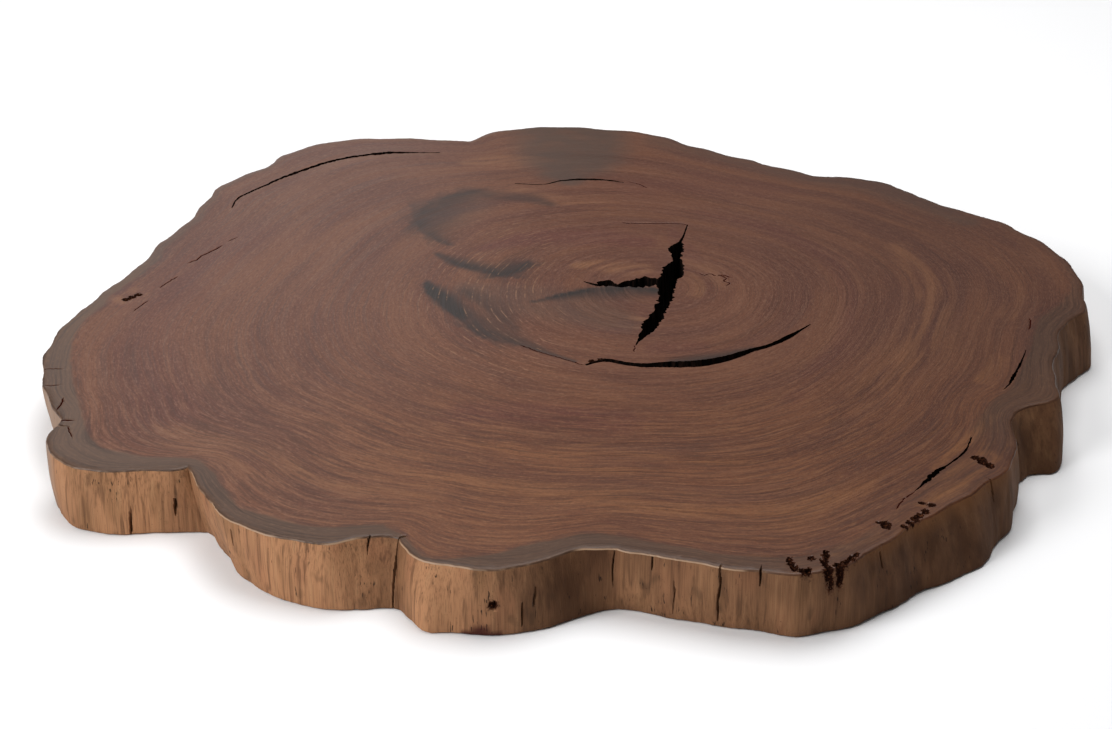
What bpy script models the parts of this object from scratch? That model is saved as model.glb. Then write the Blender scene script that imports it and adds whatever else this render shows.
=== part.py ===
"""A wood slice: a crosscut slab of a lobed hardwood trunk, flat on top and underneath, with no bark.

Tables are in millimetres about the pith, +X to the right and +Y to the back, with the underside at
height 0. The slab is one grown piece. Its origin is the bottom centre of its box.
"""

import math

import bmesh
import bpy
from mathutils import Vector

MM = 0.001

THICKNESS = 75.0
RIM_ROUND = 2.0
FOOT_BEVEL = 2.0
BELLY = 2.5
BELLY_HEIGHTS = (25.0, 50.0)
COLUMN_STEP = 11.0

# The rounded rim's rings: how far down and how far in, as shares of RIM_ROUND.
RIM_RINGS = ((1.0, 0.0), (0.3, 0.3), (0.0, 1.0))

# The wall's shallow flutes: how many go round the slab, their height and their phase.
FLUTES = ((61, 1.3, 0.4), (37, 1.0, 2.1))

# Cutting shapes stand this far proud of the wood, and close to a tip of this half width.
CUT_MARGIN = 6.0
CRACK_TIP = 0.4

# A crack's width at its foot, as a share of its width at the top.
THROUGH_TAPER = 0.75
BLIND_TAPER = 0.3

# How much a pit's wall goes in and out, as a share of its size.
PIT_ROUGHNESS = 0.22

SMOOTH_ANGLE = 35.0

# Each run of the outline goes from one crease to the next, counter-clockwise from the right front.
# A row is the rim's x and y, then the x and y of the wall's foot under it.
OUTLINE = (
    (
        (370, -345, 385, -352),
        (380, -325, 398, -338),
        (400, -312, 412, -337),
        (423, -298, 430, -329),
        (435, -282, 441, -300),
        (437, -250, 446, -262),
        (443, -205, 449, -208),
        (455, -160, 462, -163),
        (467, -115, 477, -123),
        (485, -87, 497, -97),
        (503, -65, 515, -70),
        (512, -15, 517, -17),
        (510, 60, 508, 62),
        (493, 114, 486, 112),
        (468, 158, 461, 153),
        (443, 194, 437, 189),
        (402, 226, 404, 229),
        (372, 254, 378, 260),
        (347, 275, 355, 281),
    ),
    (
        (347, 275, 355, 281),
        (332, 298, 336, 301),
        (305, 325, 305, 324),
        (271, 340, 269, 335),
        (226, 346, 226, 346),
        (192, 365, 195, 370),
        (150, 388, 155, 394),
    ),
    (
        (150, 388, 155, 394),
        (132, 404, 135, 408),
        (87, 432, 86, 431),
        (52, 457, 48, 452),
        (22, 485, 17, 478),
        (-15, 503, -18, 498),
        (-65, 516, -66, 516),
        (-115, 523, -115, 528),
        (-165, 521, -167, 529),
        (-205, 509, -208, 514),
        (-232, 490, -236, 495),
        (-250, 471, -250, 480),
    ),
    (
        (-250, 471, -250, 480),
        (-280, 474, -279, 479),
        (-320, 479, -320, 479),
        (-375, 482, -373, 477),
        (-425, 473, -421, 466),
        (-470, 452, -466, 448),
        (-500, 420, -500, 420),
        (-520, 382, -524, 384),
        (-555, 342, -556, 343),
        (-580, 300, -575, 297),
        (-592, 250, -591, 250),
        (-602, 200, -606, 201),
        (-625, 145, -626, 145),
        (-647, 65, -642, 62),
        (-671, 2, -670, 2),
        (-685, -24, -683, -24),
        (-695, -60, -691, -58),
        (-714, -110, -704, -108),
        (-721, -160, -708, -158),
        (-718, -210, -704, -207),
        (-706, -262, -691, -261),
        (-690, -300, -682, -302),
        (-677, -343, -672, -345),
    ),
    (
        (-677, -343, -672, -345),
        (-685, -370, -677, -372),
        (-686, -395, -680, -397),
        (-680, -417, -674, -418),
        (-665, -435, -664, -436),
        (-640, -453, -645, -456),
        (-600, -457, -600, -465),
        (-560, -457, -555, -465),
        (-535, -455, -525, -461),
        (-523, -448, -505, -462),
    ),
    (
        (-523, -448, -505, -462),
        (-513, -474, -492, -478),
        (-503, -498, -483, -500),
        (-494, -520, -476, -516),
        (-484, -536, -468, -530),
    ),
    (
        (-484, -536, -468, -530),
        (-465, -560, -455, -555),
        (-440, -582, -438, -577),
        (-400, -600, -402, -604),
        (-360, -606, -362, -615),
        (-330, -598, -328, -619),
        (-300, -592, -303, -613),
        (-289, -596, -289, -617),
    ),
    (
        (-289, -596, -289, -617),
        (-284, -615, -278, -637),
        (-266, -638, -262, -657),
        (-236, -652, -238, -662),
        (-200, -657, -200, -663),
        (-165, -652, -165, -661),
        (-135, -636, -135, -649),
        (-108, -620, -108, -633),
        (-85, -616, -85, -618),
        (-70, -617, -70, -615),
        (-58, -626, -56, -619),
        (-20, -634, -20, -630),
        (20, -648, 20, -643),
        (55, -660, 55, -653),
        (105, -666, 105, -665),
        (150, -657, 150, -657),
        (175, -635, 182, -640),
        (220, -588, 232, -597),
        (260, -548, 275, -564),
        (300, -511, 318, -531),
        (330, -479, 343, -484),
        (352, -450, 360, -450),
        (365, -420, 370, -418),
        (370, -390, 376, -393),
        (370, -345, 385, -352),
    ),
)

# The heart's cracks go right through the slab. A station is x, y and half the width there.
HEART_CRACKS = {
    "heart_check": (
        (39, 186, 0.8),
        (32, 150, 1.4),
        (27, 130, 2.5),
        (25, 123, 6.5),
        (21, 106, 8.5),
        (22, 80, 5.5),
        (18, 58, 10),
        (15, 41, 14),
        (10, 28, 13),
        (7, 6, 11.5),
        (3, -28, 9.5),
        (-2, -50, 8),
        (-7, -72, 7.5),
        (-12, -90, 8.5),
        (-17, -103, 10),
        (-22, -119, 8),
        (-28, -135, 4),
        (-33, -148, 2),
        (-37, -160, 0.8),
    ),
    "heart_branch": (
        (6, 16, 9),
        (-8, 15, 9),
        (-17, 13, 16),
        (-28, 10, 12),
        (-46, 5, 8),
        (-57, 3, 4.5),
        (-66, 8, 8),
        (-74, 7, 7),
        (-80, 4, 3),
        (-96, 14, 0.8),
    ),
}

# A shake goes down to its depth along a growth ring. A station is bearing, radius and half width.
RING_SHAKES = {
    "front_shake": (
        45,
        (
            (-114.5, 232, 1.5),
            (-111.5, 216, 2.5),
            (-109, 211, 3.5),
            (-104, 213, 3),
            (-98, 214, 5),
            (-91, 210, 6),
            (-84.5, 210, 7),
            (-78, 209, 7),
            (-70, 205, 5.5),
            (-61, 199, 4.5),
            (-53, 200, 3.5),
            (-45, 199, 4),
            (-38, 199, 2),
            (-31.5, 201, 0.8),
        ),
    ),
    "back_left_shake": (
        22,
        (
            (156.5, 602, 0.8),
            (153.5, 611, 1.6),
            (149.5, 605, 2),
            (145.5, 601, 2.5),
            (141.5, 595, 3),
            (137.5, 589, 3),
            (133.5, 575, 3),
            (130, 557, 4),
            (127, 536, 1.5),
            (124, 516, 0.8),
        ),
    ),
    "back_shake": (
        14,
        (
            (120, 370, 0.8),
            (115, 350, 1),
            (110.5, 352, 2),
            (105.5, 347, 3),
            (100.5, 337, 2),
            (97, 326, 0.8),
        ),
    ),
    "right_shake": (
        14,
        (
            (-12, 444, 0.8),
            (-16.5, 446, 1.2),
            (-26, 453, 1.8),
            (-31, 458, 3),
            (-34, 462, 2),
            (-37, 464, 0.8),
        ),
    ),
    "right_front_shake": (
        14,
        (
            (-50, 502, 1),
            (-53, 518, 2),
            (-56, 528, 1.6),
            (-58.5, 535, 3.5),
            (-61, 544, 3),
            (-64, 560, 1),
        ),
    ),
    "left_notch_crack": (
        30,
        (
            (-152, 800, 5),
            (-152.6, 762, 2.5),
            (-152.5, 752, 0.8),
        ),
    ),
}

# Each check in the wall: bearing from the pith, half width, depth, then its lowest and highest point.
WALL_CHECKS = (
    (-141.6, 1.5, 12, 0, 30),
    (-139.4, 2.0, 14, 27, 43),
    (-129.6, 1.2, 10, 46, 64),
    (-118.2, 1.2, 10, 63, 75),
    (-115.8, 2.2, 18, -2, 80),
    (-104.0, 1.5, 10, 10, 34),
    (-103.1, 1.5, 10, 33, 45),
    (-96.6, 1.6, 12, 35, 72),
    (-93.0, 1.4, 10, 58, 72),
    (-90.9, 1.2, 10, 16, 54),
    (-87.0, 2.0, 14, 8, 80),
    (-83.7, 1.6, 12, 62, 80),
    (-72.2, 1.4, 10, 50, 68),
    (-55.3, 1.4, 10, 52, 78),
)

# Each rotted pit: x and y of its middle, its depth under the top face, then its half sizes.
PITS = (
    (328, -438, 0, 9, 6, 9),
    (331, -449, 0, 5, 8, 8),
    (208, -574, 0, 6, 8, 8),
    (255, -530, 0, 8, 5, 7),
    (244, -552, 0, 8, 5, 8),
    (231, -574, 3, 7, 6, 10),
    (108, -652, 2, 7, 11, 9),
    (120, -660, 4, 6, 9, 9),
    (140, -642, 2, 6, 14, 12),
    (152, -650, 7, 7, 13, 18),
    (163, -638, 2, 9, 6, 9),
    (148, -664, 21, 4, 9, 13),
    (-643, -30, 0, 9, 5, 6),
)
WORM_HOLE = (-193, -662, 38, 3.5, 14, 3.5)


def polar(bearing, radius):
    """The plan point at a bearing in degrees and a radius from the pith."""
    angle = math.radians(bearing)
    return radius * math.cos(angle), radius * math.sin(angle)


def curve_through(rows, step):
    """Rows read every step or so along a smooth curve through the given ones, without the last."""
    first = [2 * a - b for a, b in zip(rows[0], rows[1])]
    last = [2 * a - b for a, b in zip(rows[-1], rows[-2])]
    padded = [first, *rows, last]
    found = []
    for before, start, end, after in zip(padded, padded[1:], padded[2:], padded[3:]):
        count = max(1, round(math.dist(start[:2], end[:2]) / step))
        for index in range(count):
            t = index / count
            found.append([
                0.5 * (2 * b + (c - a) * t + (2 * a - 5 * b + 4 * c - d) * t**2
                       + (3 * b - a - 3 * c + d) * t**3)
                for a, b, c, d in zip(before, start, end, after)
            ])
    return found


def flute_depth(share):
    """The height of the wall's shallow flutes at a share of the way round the slab."""
    return sum(size * math.sin(2 * math.pi * count * share + phase) for count, size, phase in FLUTES)


def outward(points, index):
    """The outline's unit normal at a point, facing away from the wood."""
    along = points[(index + 1) % len(points)] - points[index - 1]
    return Vector((along.y, -along.x)).normalized()


def outline_rows(step):
    """The rim and foot of the wall all the way round, read about a step apart."""
    return [row for run in OUTLINE for row in curve_through(run, step)]


def wall_point(row, height):
    """The plan point of the wall between a row's foot and its rim."""
    return Vector(row[2:]).lerp(Vector(row[:2]), height / THICKNESS)


def wall_rings():
    """The wall's rings of points, from the foot up to the top face."""
    rows = outline_rows(COLUMN_STEP)
    rims = [Vector(row[:2]) for row in rows]
    levels = [(0.0, FOOT_BEVEL), (FOOT_BEVEL, 0.0)]
    levels += [(height, 0.0) for height in BELLY_HEIGHTS]
    levels += [(THICKNESS - down * RIM_ROUND, inward * RIM_ROUND) for down, inward in RIM_RINGS]
    rings = []
    for height, inset in levels:
        share = height / THICKNESS
        belly = BELLY * 4 * share * (1 - share)
        ring = []
        for index, row in enumerate(rows):
            proud = belly + flute_depth(index / len(rows)) - inset
            place = wall_point(row, height) + outward(rims, index) * proud
            ring.append((place.x, place.y, height))
        rings.append(ring)
    return rings


def mesh_object(name, builder):
    """A new object whose mesh the builder fills."""
    mesh = bpy.data.meshes.new(name)
    shape = bmesh.new()
    builder(shape)
    bmesh.ops.recalc_face_normals(shape, faces=shape.faces)
    shape.to_mesh(mesh)
    shape.free()
    made = bpy.data.objects.new(name, mesh)
    bpy.context.scene.collection.objects.link(made)
    return made


def loft(shape, rings):
    """Closed rings of points joined by quads, with a face on the first and the last."""
    made = [[shape.verts.new(Vector(point) * MM) for point in ring] for ring in rings]
    for low, high in zip(made, made[1:]):
        for index in range(len(low)):
            after = (index + 1) % len(low)
            shape.faces.new((low[index], low[after], high[after], high[index]))
    shape.faces.new(made[0][::-1])
    shape.faces.new(made[-1])


def ribbon_ring(stations, share, height):
    """The outline of a ribbon in plan: down one side of its stations and back up the other."""
    centres = [Vector(station[:2]) for station in stations]
    sides = []
    for index, centre in enumerate(centres):
        along = centres[min(index + 1, len(centres) - 1)] - centres[max(index - 1, 0)]
        across = Vector((along.y, -along.x)).normalized() * stations[index][2] * share
        sides.append((centre + across, centre - across))
    points = [side[0] for side in sides] + [side[1] for side in reversed(sides)]
    return [(point.x, point.y, height) for point in points]


def as_cutter(made):
    """Keeps a cutting shape out of the finished part."""
    made.hide_render = True
    made.display_type = "WIRE"
    return made


def top_crack(name, stations, depth, taper):
    """A cutter for a crack that opens in the top face and narrows as it goes down."""
    heights = ((THICKNESS - depth, taper), (THICKNESS, 1.0), (THICKNESS + CUT_MARGIN, 1.0))
    rings = [ribbon_ring(stations, share, height) for height, share in heights]
    return as_cutter(mesh_object(name, lambda shape: loft(shape, rings)))


def wall_radius(rows, bearing, height):
    """How far the wall is from the pith at a bearing and a height."""
    spots = []
    for row in rows:
        spot = wall_point(row, height)
        turn = math.degrees(math.atan2(spot.y, spot.x)) - bearing
        spots.append((abs((turn + 180) % 360 - 180), spot.length))
    return min(spots)[1]


def wall_check(name, rows, bearing, half_width, depth, low, high):
    """A cutter for a crack that opens in the wall, widest half way up, and closes towards the pith."""
    rings = []
    for height, half in ((low, CRACK_TIP), ((low + high) / 2, half_width), (high, CRACK_TIP)):
        face = wall_radius(rows, bearing, height)
        stations = [
            (*polar(bearing, face + CUT_MARGIN), half),
            (*polar(bearing, face - depth / 2), half),
            (*polar(bearing, face - depth), CRACK_TIP),
        ]
        rings.append(ribbon_ring(stations, 1.0, height))
    return as_cutter(mesh_object(name, lambda shape: loft(shape, rings)))


def pit(name, x, y, drop, *half_sizes):
    """A cutter for a rotted pit: a rough ball, squashed to its half sizes."""
    def build(shape):
        bmesh.ops.create_icosphere(shape, subdivisions=1, radius=1.0)
        for index, vertex in enumerate(shape.verts):
            rough = 1 + PIT_ROUGHNESS * math.sin(2.4 * index + x)
            vertex.co = Vector(c * half for c, half in zip(vertex.co, half_sizes)) * rough
            vertex.co = (vertex.co + Vector((x, y, THICKNESS - drop))) * MM
    return as_cutter(mesh_object(name, build))


def wood_material():
    """Satin red-brown heartwood."""
    made = bpy.data.materials.new("wood")
    made.use_nodes = True
    surface = made.node_tree.nodes["Principled BSDF"]
    surface.inputs["Base Color"].default_value = (0.15, 0.075, 0.045, 1.0)
    surface.inputs["Roughness"].default_value = 0.45
    surface.inputs["Metallic"].default_value = 0.0
    return made


def box_centre(rings):
    """The middle of the slab's box in plan, in metres."""
    across = [point[0] for ring in rings for point in ring]
    deep = [point[1] for ring in rings for point in ring]
    middle = Vector((min(across) + max(across), min(deep) + max(deep), 0)) / 2
    return middle * MM


def cutters():
    """Every crack, check and pit."""
    made = []
    for name, stations in HEART_CRACKS.items():
        made.append(top_crack(name, stations, THICKNESS + CUT_MARGIN, THROUGH_TAPER))
    for name, (depth, stations) in RING_SHAKES.items():
        placed = [(*polar(bearing, radius), half) for bearing, radius, half in stations]
        made.append(top_crack(name, placed, depth, BLIND_TAPER))
    rows = outline_rows(COLUMN_STEP / 4)
    made += [wall_check(f"wall_check_{n}", rows, *check) for n, check in enumerate(WALL_CHECKS)]
    made += [pit(f"pit_{n}", *place) for n, place in enumerate(PITS)]
    made.append(pit("worm_hole", *WORM_HOLE))
    return made


def wood_slice():
    """The slab, cut by its cracks and set on its origin."""
    rings = wall_rings()
    slab = mesh_object("wood_slice", lambda shape: loft(shape, rings))
    slab.data.materials.append(wood_material())
    middle = box_centre(rings)
    slab.location = -middle
    for cutter in cutters():
        cutter.location = -middle
        cut = slab.modifiers.new(cutter.name, "BOOLEAN")
        cut.operation = "DIFFERENCE"
        cut.solver = "EXACT"
        cut.object = cutter
    slab.data.shade_smooth()
    slab.data.set_sharp_from_angle(angle=math.radians(SMOOTH_ANGLE))
    return slab


for old in list(bpy.data.objects):
    bpy.data.objects.remove(old)

wood_slice()
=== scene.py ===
"""The looks of the wood slice: one fine closed mesh in place of the faceted slab, and its finish.

Tables are in millimetres about the pith, +X to the right and +Y to the back, with the underside at
height 0, as in the slab's own source. Metres are used only where the mesh is made.
"""

import math

import bpy
import numpy as np
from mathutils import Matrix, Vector, noise
from mathutils.geometry import delaunay_2d_cdt


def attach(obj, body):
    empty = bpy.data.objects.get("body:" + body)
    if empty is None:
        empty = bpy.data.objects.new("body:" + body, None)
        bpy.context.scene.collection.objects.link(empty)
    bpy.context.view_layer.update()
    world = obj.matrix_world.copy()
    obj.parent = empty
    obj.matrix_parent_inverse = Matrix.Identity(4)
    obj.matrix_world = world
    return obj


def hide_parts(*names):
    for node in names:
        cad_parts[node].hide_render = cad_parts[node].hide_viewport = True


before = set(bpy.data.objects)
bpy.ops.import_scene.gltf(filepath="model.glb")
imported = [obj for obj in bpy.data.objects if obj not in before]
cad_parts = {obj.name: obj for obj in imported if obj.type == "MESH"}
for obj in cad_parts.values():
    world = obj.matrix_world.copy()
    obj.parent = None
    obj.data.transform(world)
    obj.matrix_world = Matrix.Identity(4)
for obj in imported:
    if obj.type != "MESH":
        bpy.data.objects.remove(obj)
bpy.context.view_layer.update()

NODE = "wood_slice"
PIECE = "wood_slice_fine"
MM = 0.001

# The pith's place in the frame, in metres.
PITH = (0.10203, 0.06942)

THICKNESS = 75.0
RIM_ROUND = 2.0
FOOT_BEVEL = 2.0
BELLY = 2.5

# How ragged the rounded rim is, as a share of how far it is set in, and how wide its lumps are.
RIM_WEAR = 0.45
RIM_LUMP = 6

# The waves of the wall round the slab: how many, how deep, and where they start, in radians.
FLUTES = ((61, 1.3, 0.4), (37, 1.0, 2.1))

# The wall's lumps: how far they stand out, how wide and how tall they are.
WALL_LUMPS = ((0.8, 11, 150), (0.4, 3.2, 60))

# How a check in the wall wanders aside: how far, over what height and where in the noise. Then how wide
# it is at its ends and how much wider in its middle, in half widths. The rounding is the power that its
# depth falls off by to the sides.
CHECK_WANDER = ((1.5, 22, 0), (0.7, 5, 9))
CHECK_WIDTHS = (0.25, 0.45)
CHECK_ROUNDING = 0.7

# How much of its width a crack keeps at the bottom, if it goes through the slab and if it doesn't.
THROUGH_TAPER = 0.75
BLIND_TAPER = 0.3

# How ragged a crack's edges are. A lump is a share of the width, a place in the noise and how wide it is.
# The teeth are the same in millimetres, and smaller where the half width is under TEETH_FROM. The crack
# keeps at least LEAST_WIDTH of its width.
CRACK_LUMPS = ((0.4, 7, 5), (0.35, -9, 13))
CRACK_TEETH = (1.5, 3, 3.1)
TEETH_FROM = 5
LEAST_WIDTH = 0.3

# How uneven a crack's walls are, how wide and tall the lumps are, and how far down they are at their full.
# The rings of points lie at the levels, in shares of the crack's depth.
CRACK_ROUGHNESS = 0.22
CRACK_WALL_LUMP = (4, 30)
ROUGH_FROM = 3
CRACK_LEVELS = (0.012, 0.05, 0.14, 0.28, 0.45, 0.64, 0.82, 1.0)

# How far under the top face a point may be and still belong to it.
TOP_SLACK = 0.2

# How uneven the grids of points are, in shares of their spacing, and the seed of the draw.
GRID_UNEVENNESS = 0.12
GRID_SEED = 11

# Spacing of the mesh: the outline's reading, the wall's columns, and the points of the two faces.
FINE_STEP = 0.5
COLUMN_EVERY = 4
CHECK_REACH = 3.5
WALL_HEIGHTS = (2.0, 8.0, 15.0, 22.0, 29.0, 36.0, 43.0, 50.0, 57.0, 64.0, 69.0)
TOP_SPACING = 6.0
UNDER_SPACING = 15.0
CRACK_STEP = 1.9
PIT_SPACING = 1.4
HAIR_SPACING = 1.4
EDGE_CLEARANCE = 0.45
SMOOTH_ANGLE = 40

# The distance between the thin pale lines of the rings round the heart.
RING_PITCH = 9.0

# Each run of the outline goes from one crease to the next, counter-clockwise from the right front.
# A row is the rim's x and y, then the x and y of the wall's foot under it.
OUTLINE = (
    (
        (370, -345, 385, -352), (380, -325, 398, -338), (400, -312, 412, -337), (423, -298, 430, -329),
        (435, -282, 441, -300), (437, -250, 446, -262), (443, -205, 449, -208), (455, -160, 462, -163),
        (467, -115, 477, -123), (485, -87, 497, -97), (503, -65, 515, -70), (512, -15, 517, -17),
        (510, 60, 508, 62), (493, 114, 486, 112), (468, 158, 461, 153), (443, 194, 437, 189),
        (402, 226, 404, 229), (372, 254, 378, 260), (347, 275, 355, 281),
    ),
    (
        (347, 275, 355, 281), (332, 298, 336, 301), (305, 325, 305, 324), (271, 340, 269, 335),
        (226, 346, 226, 346), (192, 365, 195, 370), (150, 388, 155, 394),
    ),
    (
        (150, 388, 155, 394), (132, 404, 135, 408), (87, 432, 86, 431), (52, 457, 48, 452),
        (22, 485, 17, 478), (-15, 503, -18, 498), (-65, 516, -66, 516), (-115, 523, -115, 528),
        (-165, 521, -167, 529), (-205, 509, -208, 514), (-232, 490, -236, 495), (-250, 471, -250, 480),
    ),
    (
        (-250, 471, -250, 480), (-280, 474, -279, 479), (-320, 479, -320, 479), (-375, 482, -373, 477),
        (-425, 473, -421, 466), (-470, 452, -466, 448), (-500, 420, -500, 420), (-520, 382, -524, 384),
        (-555, 342, -556, 343), (-580, 300, -575, 297), (-592, 250, -591, 250), (-602, 200, -606, 201),
        (-625, 145, -626, 145), (-647, 65, -642, 62), (-671, 2, -670, 2), (-685, -24, -683, -24),
        (-695, -60, -691, -58), (-714, -110, -704, -108), (-721, -160, -708, -158),
        (-720, -210, -706, -207), (-710, -262, -697, -261), (-695, -300, -687, -302),
        (-678, -343, -673, -345),
    ),
    (
        (-678, -343, -673, -345), (-682, -370, -675, -372), (-682, -395, -677, -397),
        (-676, -416, -671, -417), (-662, -434, -661, -435), (-640, -453, -645, -456),
        (-600, -457, -600, -465), (-560, -457, -555, -465), (-535, -455, -525, -461),
        (-523, -448, -505, -462),
    ),
    (
        (-523, -448, -505, -462), (-513, -474, -492, -478), (-503, -498, -483, -500),
        (-494, -520, -476, -516), (-484, -536, -468, -530),
    ),
    (
        (-484, -536, -468, -530), (-465, -560, -455, -555), (-440, -582, -438, -577),
        (-400, -600, -402, -604), (-360, -606, -362, -615), (-330, -598, -328, -619),
        (-300, -592, -303, -613), (-289, -596, -289, -617),
    ),
    (
        (-289, -596, -289, -617), (-284, -615, -278, -637), (-266, -638, -262, -657),
        (-236, -652, -238, -662), (-200, -657, -200, -663), (-165, -652, -165, -661),
        (-135, -636, -135, -649), (-108, -620, -108, -633), (-85, -616, -85, -618),
        (-70, -617, -70, -615), (-58, -626, -56, -619), (-20, -634, -20, -630), (20, -648, 20, -643),
        (55, -660, 55, -653), (105, -666, 105, -665), (150, -657, 150, -657), (175, -635, 182, -640),
        (220, -588, 232, -597), (260, -548, 275, -564), (300, -511, 318, -531), (330, -479, 343, -484),
        (352, -450, 360, -450), (365, -420, 370, -418), (370, -390, 376, -393), (370, -345, 385, -352),
    ),
)

# The heart's cracks go right through the slab. A station is x, y and half the width there.
HEART_CRACKS = {
    "heart_check": (
        (39, 186, 0.8), (32, 150, 1.4), (27, 130, 2.5), (25, 123, 6.5), (21, 106, 8.5), (22, 80, 5.5),
        (18, 58, 10), (15, 41, 14), (10, 28, 13), (7, 6, 11.5), (3, -28, 9.5), (-2, -50, 8),
        (-7, -72, 7.5), (-12, -90, 8.5), (-17, -103, 10), (-22, -119, 8), (-28, -135, 4),
        (-33, -148, 2), (-37, -160, 0.8),
    ),
    "heart_branch": (
        (6, 16, 9), (-8, 15, 9), (-17, 13, 16), (-28, 10, 12), (-46, 5, 8), (-57, 3, 4.5), (-66, 8, 8),
        (-74, 7, 7), (-80, 4, 3), (-96, 14, 0.8),
    ),
}

# A shake goes down to its depth along a growth ring. A station is bearing, radius and half width.
RING_SHAKES = {
    "front_shake": (45, (
        (-114.5, 232, 1.6), (-111.5, 216, 3.0), (-109, 211, 4.4), (-104, 213, 4.2), (-98, 214, 5),
        (-91, 210, 7), (-84.5, 210, 8), (-78, 209, 8), (-70, 205, 6.5), (-61, 199, 4.5),
        (-53, 200, 3.5), (-45, 199, 4), (-38, 199, 2), (-31.5, 201, 0.8),
    )),
    "back_left_shake": (22, (
        (156.5, 602, 0.8), (153.5, 611, 1.6), (149.5, 605, 2), (145.5, 601, 2.5), (141.5, 595, 3),
        (137.5, 589, 3), (133.5, 575, 3), (130, 557, 4), (127, 536, 1.5), (124, 516, 0.8),
    )),
    "back_shake": (14, (
        (120, 370, 0.8), (115, 350, 1), (110.5, 352, 2), (105.5, 347, 3), (100.5, 337, 2),
        (97, 326, 0.8),
    )),
    "right_shake": (14, (
        (-22.5, 450, 0.4), (-26, 453, 1.0), (-31, 458, 2.0), (-34, 462, 1.3), (-36, 463, 0.5),
    )),
    "right_front_shake": (14, (
        (-50, 502, 0.8), (-53, 518, 1.3), (-56, 528, 1.1), (-57.6, 532, 1.5), (-59, 536, 3.6),
        (-61, 544, 3.2), (-62.4, 552, 1.4), (-64, 560, 0.8),
    )),
}

# How ragged a crack's edges are, where it isn't 1.
RAGGEDNESS = {
    "front_shake": 0.34,
    "back_left_shake": 1.4,
    "right_shake": 1.4,
    "right_front_shake": 1.5,
}

# Each check in the wall: bearing from the pith, half width, depth, then its lowest and highest point.
WALL_CHECKS = (
    (-152.4, 3.0, 16, 40, 95),
    (-141.6, 1.5, 12, 0, 30),
    (-139.4, 1.5, 14, 27, 43),
    (-129.6, 1.2, 10, 46, 64),
    (-118.2, 1.2, 10, 63, 75),
    (-115.8, 1.7, 18, -2, 80),
    (-104.0, 1.5, 10, 10, 34),
    (-103.1, 1.5, 10, 33, 45),
    (-96.6, 1.3, 12, 35, 72),
    (-93.0, 1.4, 10, 58, 72),
    (-90.9, 0.9, 5, 10, 50),
    (-87.0, 1.5, 13, 8, 80),
    (-83.7, 1.6, 12, 60, 80),
    (-72.2, 1.4, 10, 50, 68),
    (-55.3, 1.4, 10, 52, 78),
)

# The rotted pits, the specks at the front shake's end and the worm hole: x and y of each one's middle,
# its depth under the top face, then its half sizes.
PITS = (
    (320, -431, 0, 3.5, 4, 6),
    (326, -437, 0, 4.5, 8, 9),
    (333, -448, 0, 3.5, 6, 7),
    (208, -573, 0, 4.5, 7, 9),
    (202, -567, 0, 3, 2.5, 4),
    (260, -532, 0, 3.5, 4, 6),
    (251, -527, 0, 3, 2, 4),
    (252, -545, 0, 3.5, 5, 6),
    (245, -553, 0, 3.5, 4, 6),
    (239, -559, 0, 3.5, 4, 6),
    (233, -567, 0, 3, 4, 6),
    (226, -575, 0, 2.5, 3, 5),
    (104, -643, 0, 3, 7, 7),
    (107, -656, 1, 3.5, 6, 8),
    (114, -662, 2, 4.5, 3.5, 5),
    (121, -661, 3, 3.5, 4, 8),
    (126, -638, 0, 3, 3.5, 5),
    (141, -630, 0, 2.6, 7, 8),
    (138, -645, 1, 3, 8, 9),
    (141, -657, 4, 3.6, 6, 10),
    (144, -664, 15, 3, 8, 11),
    (152, -652, 4, 4.5, 6, 8),
    (154, -658, 13, 3, 8, 9),
    (159, -645, 1, 4, 3.5, 7),
    (166, -638, 1, 3.5, 3.5, 6),
    (172, -631, 0, 2.5, 3, 4),
    (-649, -37, 0, 4, 3, 5),
    (-643, -30, 0, 4.5, 4, 7),
    (-636, -24, 0, 3.5, 3, 5),
    (-78, -197, 0, 4, 2.5, 4),
    (-89, -202, 0, 3, 2.5, 4),
    (-193, -662, 38, 3.5, 14, 3.5),
)

# How far a pit's ragged edge wanders, and the size of its lumps.
PIT_WANDER = 2.8
PIT_LUMP = 3.6

# How deep a pit in the top face is, as a share of its half height, and how deep one in the wall is, as a
# share of its mean half width.
PIT_DEPTH = 0.55
WALL_PIT_DEPTH = 1.1

# A hole that lies deeper than this is in the wall alone. Round the others, the top's grid is left out and
# a finer one reaches a little further.
WALL_HOLE_FROM = 10
PIT_MARGIN = 2
PIT_GRID_MARGIN = 3

# How far round a pit the rot stains the wood: what is added to its half sizes, and how many times those.
ROT_MARGIN = 1.5
ROT_REACH = 1.4

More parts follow.
